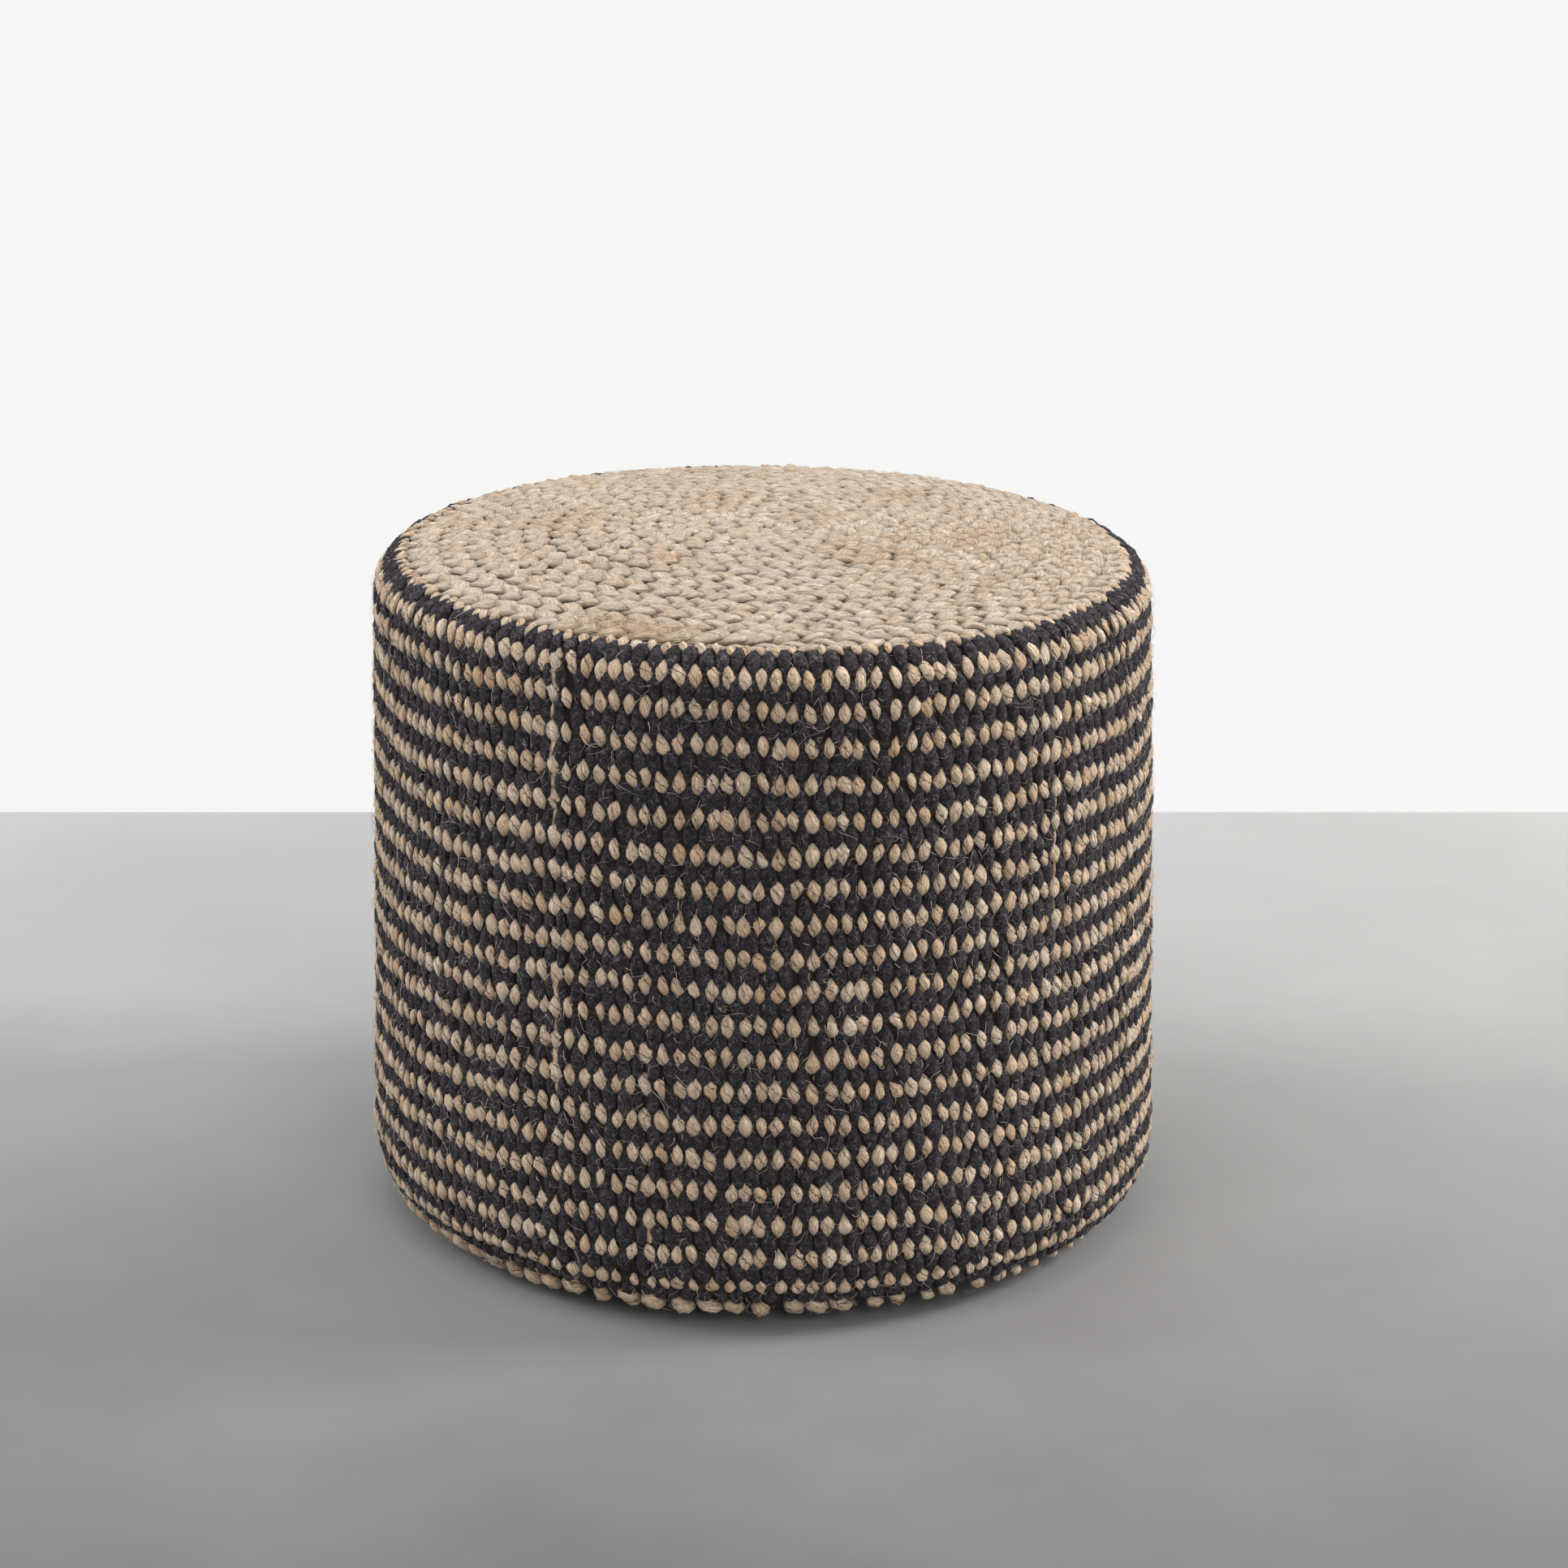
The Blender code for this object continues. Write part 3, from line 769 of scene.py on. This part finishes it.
# Warmer, redder patches of the jute: across, away and how far they reach
WARM_PATCHES = ((-0.130, 0.033, 0.030), (0.090, 0.116, 0.026), (0.058, -0.048, 0.034),
                (-0.039, 0.079, 0.026), (0.128, 0.003, 0.028), (0.030, 0.040, 0.018),
                (-0.060, -0.070, 0.022), (-0.078, -0.196, 0.018))


def on_mat(x, y, rise):
    """Point on the crowned mat, at a height over its smooth top."""
    share = np.minimum(np.hypot(x, y) / mat_radius, 1.0)
    x = x + MAT_SHIFT
    droop = 0.0018 * smooth_step(np.hypot(x, y), mat_radius - 0.008, mat_radius + 0.006)
    height = rim_height + CROWN * (1.0 - share ** 2) + rise - droop
    return np.stack((x, y, leaning(x, height)), axis=-1)


def turn_edge(turn, share):
    """Outer edge of a turn, in pitches: inner turns wind evenly, outer ones step out near their end."""
    circular = np.clip((turn - 5.0) / 7.0, 0.0, 1.0)
    growth = (1.0 - circular) * share + circular * smooth_step(share, 0.80, 1.0)
    return turn + 1.0 + np.where(turn >= BRAID_TURNS - 1, 0.0, growth)


turns = np.linspace(WINDING_START, BRAID_TURNS - 0.012, WINDING_POINTS)
whole = np.floor(turns)
part = turns - whole
outer_edge = turn_edge(whole, part)
inner_edge = turn_edge(whole - 1.0, part)
winding_radius = (0.5 * braid_pitch * (outer_edge + inner_edge)
                  + 0.0004 * np.sin(turns * 2.0 * math.pi * 9.37) * smooth_step(turns, 0.5, 2.0))
winding_angle = BRAID_END_ANGLE - 2.0 * math.pi * turns
drift = 1.0 - (winding_radius / mat_radius) ** 2
toward_shift = np.cos(winding_angle) * CENTRE_SHIFT[0] + np.sin(winding_angle) * CENTRE_SHIFT[1]
crowding = 1.0 - 2.0 * winding_radius * toward_shift / mat_radius ** 2
braid_width = (outer_edge - inner_edge) * crowding
path_x = winding_radius * np.cos(winding_angle) + CENTRE_SHIFT[0] * drift
path_y = winding_radius * np.sin(winding_angle) + CENTRE_SHIFT[1] * drift
path_length = np.concatenate(([0.0], np.cumsum(np.hypot(np.diff(path_x), np.diff(path_y)))))
ring_at = np.arange(0.0, path_length[-1], RING_STEP)
ring_x = np.interp(ring_at, path_length, path_x)
ring_y = np.interp(ring_at, path_length, path_y)
ring_width = np.interp(ring_at, path_length, braid_width)
ring_turn = np.interp(ring_at, path_length, turns)
heading = np.arctan2(np.gradient(ring_y), np.gradient(ring_x))
side_x, side_y = np.sin(heading), -np.cos(heading)     # to the right of the heading


def drifting(at, seed, reach, waves=9):
    """Smooth unevenness along the braid, about -1.5 to 1.5, with waves near the reach in length."""
    dice = np.random.default_rng(seed)
    total = 0.0
    for _ in range(waves):
        total = total + np.sin(at * 2.0 * math.pi / reach * dice.uniform(0.35, 1.3)
                               + dice.uniform(0.0, 2.0 * math.pi))
    return total / math.sqrt(waves)


PALE_BRAID = (0.730, 0.605, 0.475, 1)
TAN_BRAID = (0.560, 0.365, 0.205, 1)
DEEP_BRAID = (0.100, 0.064, 0.036, 1)        # in the gaps between fibres, and as painted shade between strands
material, tree, shader = new_finish("jute_braid", 0.85, 0.25)
where = add(tree, "TexCoord", {}).outputs["Object"]
fibre = use_group(tree, fibre_streaks, {"Yarn Place": marked(tree, "yarn", "Vector"),
                                        "Fibres per Millimetre": 1.4, "Fibre Length": 16.0,
                                        "Wander": 2.0})
curls = use_group(tree, curled_hairs, {"Place": where, "Curls per Metre": 200.0, "Thickness": 0.030})
# Pale to tan by tone and clumps; deep in blotches, fibre gaps and hairs; painted shade between strands
braid_colour = tint(tree, marked(tree, "tone"), PALE_BRAID, TAN_BRAID)
braid_colour = tint(tree, ramp(tree, fibre["Clump"], 0.35, 1.0, 0.0, 0.22), braid_colour, TAN_BRAID)
blotches = add(tree, "TexNoise", {"Vector": where, "Scale": 170.0, "Detail": 3.0,
                                  "Roughness": 0.6}).outputs["Fac"]
braid_colour = tint(tree, ramp(tree, blotches, 0.42, 0.66, 0.0, 0.30), braid_colour, DEEP_BRAID)
braid_colour = tint(tree, ramp(tree, fibre["Streak"], 0.46, 0.0, 0.0, 0.28), braid_colour, DEEP_BRAID)
braid_colour = tint(tree, ramp(tree, curls["Hair"], 0.0, 1.0, 0.0, 0.40), braid_colour, DEEP_BRAID)
strand_gap_shade = ramp(tree, marked(tree, "crest"), 0.91, 0.50, 0.0, 0.85)
braid_colour = tint(tree, strand_gap_shade, braid_colour, DEEP_BRAID)
height = add(tree, "Math", {0: fibre["Streak"], 1: ramp(tree, fibre["Clump"], 0.0, 1.0, 0.0, 1.6)},
             operation="ADD").outputs[0]
surface(tree, shader, braid_colour, height)
jute_braid = material

STRAND_SPOKES = np.radians([0, 36, 72, 108, 144, 180, 240, 300])
warm = 0.12 * ripple(3.0 * ring_x / mat_radius, ring_y, 91, 2, 0.30)
for warm_x, warm_y, reach in WARM_PATCHES:
    warm = warm + np.exp(-((ring_x - warm_x) ** 2 + (ring_y - warm_y) ** 2) / reach ** 2)

for strand, name in enumerate(("braid_strand_one", "braid_strand_two", "braid_strand_three")):
    dice = np.random.default_rng(71 + strand)
    phase = (2.0 * math.pi * (ring_at / BRAID_REPEAT + strand / 3.0)
             + 0.24 * drifting(ring_at, 75, 0.12) + 0.17 * drifting(ring_at, 76 + strand, 0.05))
    fat = 1.0 + 0.14 * drifting(ring_at, 81 + strand, 0.030) + 0.05 * drifting(ring_at, 84, 0.5)
    fat = fat * (1.0 + 0.07 * smooth_step(ring_turn, BRAID_TURNS - 1.6, BRAID_TURNS - 1.0))
    squeeze = np.clip(ring_width, 0.10, 1.25)
    swing = 0.5 * squeeze * (1.22 * braid_pitch - 0.92 * STRAND_WIDTH)
    sway = swing * np.sin(phase)
    over = np.tanh(1.7 * np.sin(2.0 * phase)) / math.tanh(1.7)
    climb = STRAND_RISE * np.clip(squeeze, 0.3, 1.0) * over
    middle = on_mat(ring_x + sway * side_x, ring_y + sway * side_y,
                    climb - STRANDS_DOWN + 0.0005 * drifting(ring_at, 85, 0.30))
    advance = np.gradient(middle, axis=0)
    advance /= np.linalg.norm(advance, axis=1)[:, None]
    bank = 0.12 * np.sin(phase)
    up = np.stack((side_x * np.sin(bank), side_y * np.sin(bank), np.cos(bank)), axis=-1)
    aside = np.cross(up, advance)
    aside /= np.linalg.norm(aside, axis=1)[:, None]
    up = np.cross(advance, aside)
    twisting = 4.0 * drifting(ring_at, 88 + strand, 0.05)[:, None]
    furrow = 1.0 + 0.09 * np.sin(3.0 * STRAND_SPOKES + twisting)
    rough = furrow * (1.0 + 0.045 * dice.normal(size=(len(ring_at), len(STRAND_SPOKES))))
    half_width = 0.5 * STRAND_WIDTH * fat * np.clip(squeeze, 0.35, 1.2) * (1.0 + 0.16 * over)
    half_depth = 0.5 * STRAND_DEPTH * fat ** 0.5 * np.clip(squeeze, 0.5, 1.0)
    level, upright = np.cos(STRAND_SPOKES), np.sin(STRAND_SPOKES)
    across = half_width[:, None] * np.sign(level) * np.abs(level) ** 0.92 * rough
    upward = half_depth[:, None] * np.sign(upright) * np.abs(upright) ** 0.9 * rough
    rings = middle[:, None] + across[..., None] * aside[:, None] + upward[..., None] * up[:, None]
    size = across.shape
    along = np.broadcast_to(1000.0 * ring_at[:, None] + 300.0 * strand, size)
    tone = np.clip(0.20 + 0.55 * warm + 0.22 * drifting(ring_at, 92 + strand, 0.030), 0.0, 1.0)
    marks = {
        "yarn": np.stack((1000.0 * across, along, 1000.0 * upward), axis=-1)[None],
        "tone": np.broadcast_to(tone[:, None], size)[None],
        # crest: painted shade down a strand's sides and where it dives under the others
        "crest": (0.5 + 0.5 * upright + np.zeros(size) + 0.20 * (over[:, None] - 0.90))[None],
    }
    piece = place_piece(name, tubes_mesh(name, rings[None], marks, 5), jute_braid)
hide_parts("braided_top")

BACKING_AROUND = 96
BACKING_TOP = -0.0062                        # under the mat's top
BACKING_UNDERSIDE = -0.0106
backing_angle = -2.0 * math.pi * np.arange(BACKING_AROUND) / BACKING_AROUND
backing_outline = [(radius, BACKING_TOP) for radius in (INNER_RING, 0.06, 0.10, 0.14, 0.18)]
backing_outline += [(mat_radius - 0.004, -0.0072), (mat_radius - 0.003, -0.0092),
                    (mat_radius - 0.004, BACKING_UNDERSIDE)]
backing_outline += [(radius, BACKING_UNDERSIDE) for radius in (0.18, 0.10, INNER_RING)]
backing_rings = [on_mat(radius * np.cos(backing_angle), radius * np.sin(backing_angle), rise)
                 for radius, rise in backing_outline]
backing_mesh = turned_form("mat_backing", np.stack(backing_rings))
BACKING_DARK = (0.16, 0.115, 0.075, 1)
BACKING_LIT = (0.38, 0.29, 0.20, 1)
material, tree, shader = new_finish("mat_backing_jute", 0.95, 0.1)
where = add(tree, "TexCoord", {}).outputs["Object"]
fleck = add(tree, "TexNoise", {"Vector": where, "Scale": 500.0, "Detail": 3.0})
surface(tree, shader, tint(tree, fleck.outputs["Fac"], BACKING_DARK, BACKING_LIT),
        fleck.outputs["Fac"], 0.6)
backing = place_piece("mat_backing", backing_mesh, material)

# ---------------------------------------------------------------------------------------------
# Loose fibres: jute sheds fine curled hairs, which stand out pale against the dark wool, lie
# over the bumps and gather where the end of the braid is matted down.
# ---------------------------------------------------------------------------------------------
HAIR_SIDES = 3
HAIR_STEPS = 4
BAND_HAIRS = 4000
FRAYS = 2300
MAT_HAIRS = 1150
MATTED_SHARE = 0.55                          # the share of the mat's hairs at the braid's end


def curled(count, dice, shortest, longest, steps, upright=None):
    """Flat curls: sideways and onward runs from the start of each hair, (count, steps). They
    lie any way round, or keep near upright, within so many radians."""
    length = shortest + (longest - shortest) * dice.random(count) ** 1.8
    bend = dice.normal(0.0, 1.3, count) / length
    sway = dice.normal(0.0, 0.8, count)
    share = np.linspace(-0.5, 0.5, steps)
    if upright is None:
        way = dice.uniform(0.0, math.pi, count)
    else:
        way = math.pi * dice.integers(0, 2, count) + 0.5 * math.pi + upright * dice.normal(size=count)
    heading = (way[:, None] + bend[:, None] * share * length[:, None]
               + sway[:, None] * np.sin(4.0 * math.pi * share) * 0.5)
    stride = length[:, None] / (steps - 1)
    return np.cumsum(np.cos(heading) * stride, axis=1), np.cumsum(np.sin(heading) * stride, axis=1)


def lay_hairs(name, middle, thickness, tone, finish):
    """One piece of fine three-sided hairs along rows of points (hairs, steps, 3)."""
    hairs, steps = middle.shape[:2]
    advance = np.gradient(middle, axis=1)
    advance /= np.linalg.norm(advance, axis=2)[..., None]
    outward = middle * np.array([1.0, 1.0, 0.0]) + np.array([0.0, 0.0, 0.02])
    aside = np.cross(outward, advance)
    aside /= np.linalg.norm(aside, axis=2)[..., None]
    up = np.cross(advance, aside)
    around = 2.0 * math.pi * np.arange(HAIR_SIDES) / HAIR_SIDES
    thin = 0.5 * thickness[:, None] * np.linspace(1.0, 0.45, steps)
    rings = (middle[:, :, None] + thin[:, :, None, None] * (np.cos(around)[:, None] * aside[:, :, None]
                                                          + np.sin(around)[:, None] * up[:, :, None]))
    size = rings.shape[:3]
    marks = {"tone": np.broadcast_to(tone[:, None, None], size)}
    return place_piece(name, tubes_mesh(name, rings, marks, steps + 1), finish)


def hair_finish(name, pale, deep):
    """A plain finish between two colours by each hair's tone."""
    material, tree, shader = new_finish(name, 0.8, 0.0)
    surface(tree, shader, tint(tree, marked(tree, "tone"), pale, deep))
    return material


jute_hair = hair_finish("jute_hair", (0.74, 0.65, 0.53, 1), (0.22, 0.19, 0.175, 1))
matted_jute = hair_finish("matted_jute", (0.84, 0.68, 0.50, 1), (0.40, 0.27, 0.16, 1))

# Loose hairs all over the band, which arch from one bump to another
HAIRS_FROM = 0.002                           # no hair leaves the band's outline
HAIRS_TO = 0.446
dice = np.random.default_rng(101)
sideways, downward = curled(BAND_HAIRS, dice, 0.0040, 0.019, HAIR_STEPS)
start_angle = dice.uniform(0.0, 2.0 * math.pi, BAND_HAIRS)
start_down = dice.uniform(0.012, 0.435, BAND_HAIRS)
arching = np.sin(np.linspace(0.0, math.pi, HAIR_STEPS)) ** 0.5
out = -0.0012 + (0.0012 + 0.0022 * dice.random(BAND_HAIRS)[:, None] ** 1.5) * arching
middle = on_drum(start_angle[:, None] + sideways / radius_down(start_down)[:, None],
                 np.clip(start_down[:, None] + downward, HAIRS_FROM, HAIRS_TO), out)
lay_hairs("band_hairs", middle, dice.uniform(0.00014, 0.00028, BAND_HAIRS),
          dice.random(BAND_HAIRS) ** 1.8, jute_hair)

# Frayed ends: short fibres that spring from the tips and sides of the jute bumps
dice = np.random.default_rng(103)
frayed = dice.integers(0, len(bump_angle), FRAYS)
sideways, downward = curled(FRAYS, dice, 0.003, 0.008, HAIR_STEPS - 1, 0.5)
end = dice.choice((-1.0, 1.0), FRAYS)
start_down = bump_down[frayed] + end * dice.uniform(0.002, 0.008, FRAYS)
start_angle = bump_angle[frayed] + dice.normal(0.0, 0.0030, FRAYS) / radius_down(start_down)
rising = np.linspace(0.0, 1.0, HAIR_STEPS - 1)
out = -0.0022 + 0.0030 * dice.random(FRAYS)[:, None] + 0.0016 * dice.random(FRAYS)[:, None] * rising
middle = on_drum(start_angle[:, None] + sideways / radius_down(start_down)[:, None],
                 np.clip(start_down[:, None] + downward, HAIRS_FROM, HAIRS_TO), out)
lay_hairs("frayed_ends", middle, dice.uniform(0.00022, 0.00042, FRAYS),
          0.25 * dice.random(FRAYS), jute_hair)

# Hairs of the mat: half lie loose all over it, half are matted down over the braid's end
dice = np.random.default_rng(102)
sideways, onward = curled(MAT_HAIRS, dice, 0.005, 0.018, HAIR_STEPS)
at_radius = mat_radius * np.sqrt(dice.random(MAT_HAIRS))
at_angle = dice.uniform(0.0, 2.0 * math.pi, MAT_HAIRS)
matted = dice.random(MAT_HAIRS) < MATTED_SHARE
at_radius[matted] = mat_radius + 0.004 - 0.016 * dice.random(matted.sum()) ** 1.5
at_angle[matted] = BRAID_END_ANGLE + dice.uniform(0.14, 0.46, matted.sum())
hair_x = at_radius[:, None] * np.cos(at_angle)[:, None] + sideways
hair_y = at_radius[:, None] * np.sin(at_angle)[:, None] + onward
arch = (0.0008 + 0.0020 * dice.random(MAT_HAIRS)[:, None]) * arching
middle = on_mat(hair_x, hair_y, -0.0010 + 0.0008 * matted[:, None] + arch)
lay_hairs("mat_hairs", middle, dice.uniform(0.00022, 0.00042, MAT_HAIRS),
          dice.random(MAT_HAIRS), matted_jute)

# ---------------------------------------------------------------------------------------------
# Base panel: a round of plain woven canvas that closes the pouf underneath. Its edge is turned
# in and stitched once round, and it is sewn into the band's hem and lies flat on the floor.
# ---------------------------------------------------------------------------------------------
BASE_AROUND = 120
PANEL_SHY = 0.0004                           # the cloth's edge keeps this far inside the panel's size
WRINKLE = 0.00012
THREADS = 2.0 * math.pi * 900.0              # radians of weave per metre
# Top, rounded edge, stitched groove and underside: shares of the panel's radius and thickness
PANEL_OUTLINE = (
    (0.1, 1.0), (0.5, 1.0), (0.9, 1.0), (0.985, 1.0), (1.0, 0.75), (1.0, 0.35), (0.99, 0.06),
    (0.972, 0.0), (0.966, 0.22), (0.960, 0.0), (0.93, 0.0), (0.8, 0.05), (0.6, 0.08),
    (0.4, 0.08), (0.2, 0.08), (0.1, 0.08))
base_angle = -2.0 * math.pi * np.arange(BASE_AROUND) / BASE_AROUND
base_rings = []
for share, height in PANEL_OUTLINE:
    radius = (base_high.x - PANEL_SHY) * share
    lift = base_high.z * (0.04 + 0.92 * height)
    wrinkle = WRINKLE * np.sin(23 * base_angle) * (height < 0.1)
    base_rings.append(np.stack((radius * np.cos(base_angle), radius * np.sin(base_angle),
                                np.maximum(lift + wrinkle, 0.0)), axis=-1))
base_mesh = turned_form("base_canvas", np.stack(base_rings))

CANVAS_DARK = (0.20, 0.17, 0.13, 1)
CANVAS_LIT = (0.34, 0.30, 0.24, 1)
THREAD_GAP = (0.09, 0.075, 0.055, 1)
material, tree, shader = new_finish("base_canvas", 0.92, 0.1)
where = add(tree, "TexCoord", {}).outputs["Object"]
split = add(tree, "SeparateXYZ", {"Vector": where})
weave = []
for axis in ("X", "Y"):
    wave = add(tree, "Math", {0: split.outputs[axis], 1: THREADS}, operation="MULTIPLY")
    weave.append(add(tree, "Math", {0: wave.outputs[0]}, operation="SINE").outputs[0])
crossed = add(tree, "Math", {0: weave[0], 1: weave[1]}, operation="MULTIPLY").outputs[0]
slub = add(tree, "TexNoise", {"Vector": where, "Scale": 60.0, "Detail": 5.0})
canvas_colour = tint(tree, slub.outputs["Fac"], CANVAS_DARK, CANVAS_LIT)
canvas_colour = tint(tree, ramp(tree, crossed, -1.0, 0.2, 0.45, 0.0), canvas_colour, THREAD_GAP)
surface(tree, shader, canvas_colour, crossed, 0.4, 0.0003)
base = place_piece("base_canvas", base_mesh, material)
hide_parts("base_panel")

# ---------------------------------------------------------------------------------------------
# Room: a plain floor, darker at the front and paler towards the back as painted shade and light,
# ending behind the pouf; soft studio light from both sides, the front and above, and the camera.
# ---------------------------------------------------------------------------------------------
FLOOR_HALF = 6.0
FLOOR_BACK = 0.78
FLOOR_NEAR_SHADED = (0.135, 0.130, 0.130, 1)
FLOOR_FAR_LIT = (0.47, 0.465, 0.455, 1)
floor_corners = [(-FLOOR_HALF, -FLOOR_HALF, 0.0), (FLOOR_HALF, -FLOOR_HALF, 0.0),
                 (FLOOR_HALF, FLOOR_BACK, 0.0), (-FLOOR_HALF, FLOOR_BACK, 0.0)]
floor_mesh = mesh_of("floor", floor_corners, [(0, 1, 2, 3)])
floor_finish, tree, shader = new_finish("floor_finish", 0.75, 0.0)
where = add(tree, "TexCoord", {}).outputs["Object"]
cloud = add(tree, "TexNoise", {"Vector": where, "Scale": 2.2, "Detail": 6.0, "Roughness": 0.6})
apart = add(tree, "SeparateXYZ", {"Vector": where})
# Painted light: dark at the front, pale at the back, for light and reflection from behind; a cloud adds
# unevenness
fading = add(tree, "Math", {0: ramp(tree, apart.outputs["Y"], -0.62, FLOOR_BACK, 0.0, 0.88),
                            1: ramp(tree, cloud.outputs["Fac"], 0.35, 0.65, 0.0, 0.12)}, operation="ADD")
surface(tree, shader, tint(tree, fading.outputs[0], FLOOR_NEAR_SHADED, FLOOR_FAR_LIT))
floor_mesh.materials.append(floor_finish)
floor = bpy.data.objects.new("floor", floor_mesh)
bpy.context.scene.collection.objects.link(floor)

world = bpy.data.worlds.new("studio")
bpy.context.scene.world = world
world.use_nodes = True
tree = world.node_tree
tree.nodes.clear()
lighting = add(tree, "Background", {"Color": (0.97, 0.98, 1.0, 1), "Strength": 0.70})
backdrop = add(tree, "Background", {"Color": (0.925, 0.925, 0.915, 1), "Strength": 1.0})
seen = add(tree, "LightPath", {}).outputs["Is Camera Ray"]
both = add(tree, "MixShader", {0: seen, 1: lighting.outputs[0], 2: backdrop.outputs[0]})
add(tree, "OutputWorld", {"Surface": both.outputs[0]})


def softbox(name, place, aim, size, power, colour):
    """A round soft light of a size in metres and a power in watts."""
    lamp = bpy.data.lights.new(name, "AREA")
    lamp.shape = "DISK"
    lamp.size = size
    lamp.energy = power
    lamp.color = colour
    holder = bpy.data.objects.new(name, lamp)
    holder.location = place
    towards = Vector(aim) - Vector(place)
    holder.rotation_euler = towards.to_track_quat("-Z", "Y").to_euler()
    bpy.context.scene.collection.objects.link(holder)


softbox("key_softbox", (2.35, 0.15, 1.6), (0.0, 0.0, 0.25), 1.0, 60.0, (1.0, 0.985, 0.96))
softbox("left_softbox", (-2.4, 0.3, 1.4), (0.0, 0.0, 0.25), 1.5, 38.0, (0.97, 0.985, 1.0))
softbox("front_softbox", (1.1, -3.2, 2.0), (0.0, 0.0, 0.25), 2.0, 42.0, (1.0, 0.99, 0.97))
softbox("top_softbox", (-0.3, -0.4, 2.8), (0.0, 0.0, 0.3), 2.0, 15.0, (1.0, 1.0, 1.0))

CAMERA_AT = (0.0131, -2.70, 1.129)
CAMERA_DOWN = 17.61                          # degrees below level
camera_data = bpy.data.cameras.new("camera")
camera_data.sensor_width = 36.0
camera_data.lens = 101.6
camera_data.clip_end = 60.0
camera = bpy.data.objects.new("camera", camera_data)
camera.location = CAMERA_AT
camera.rotation_euler = (math.radians(90.0 - CAMERA_DOWN), 0.0, 0.0)
bpy.context.scene.collection.objects.link(camera)
bpy.context.scene.camera = camera
bpy.context.scene.view_settings.view_transform = "Standard"
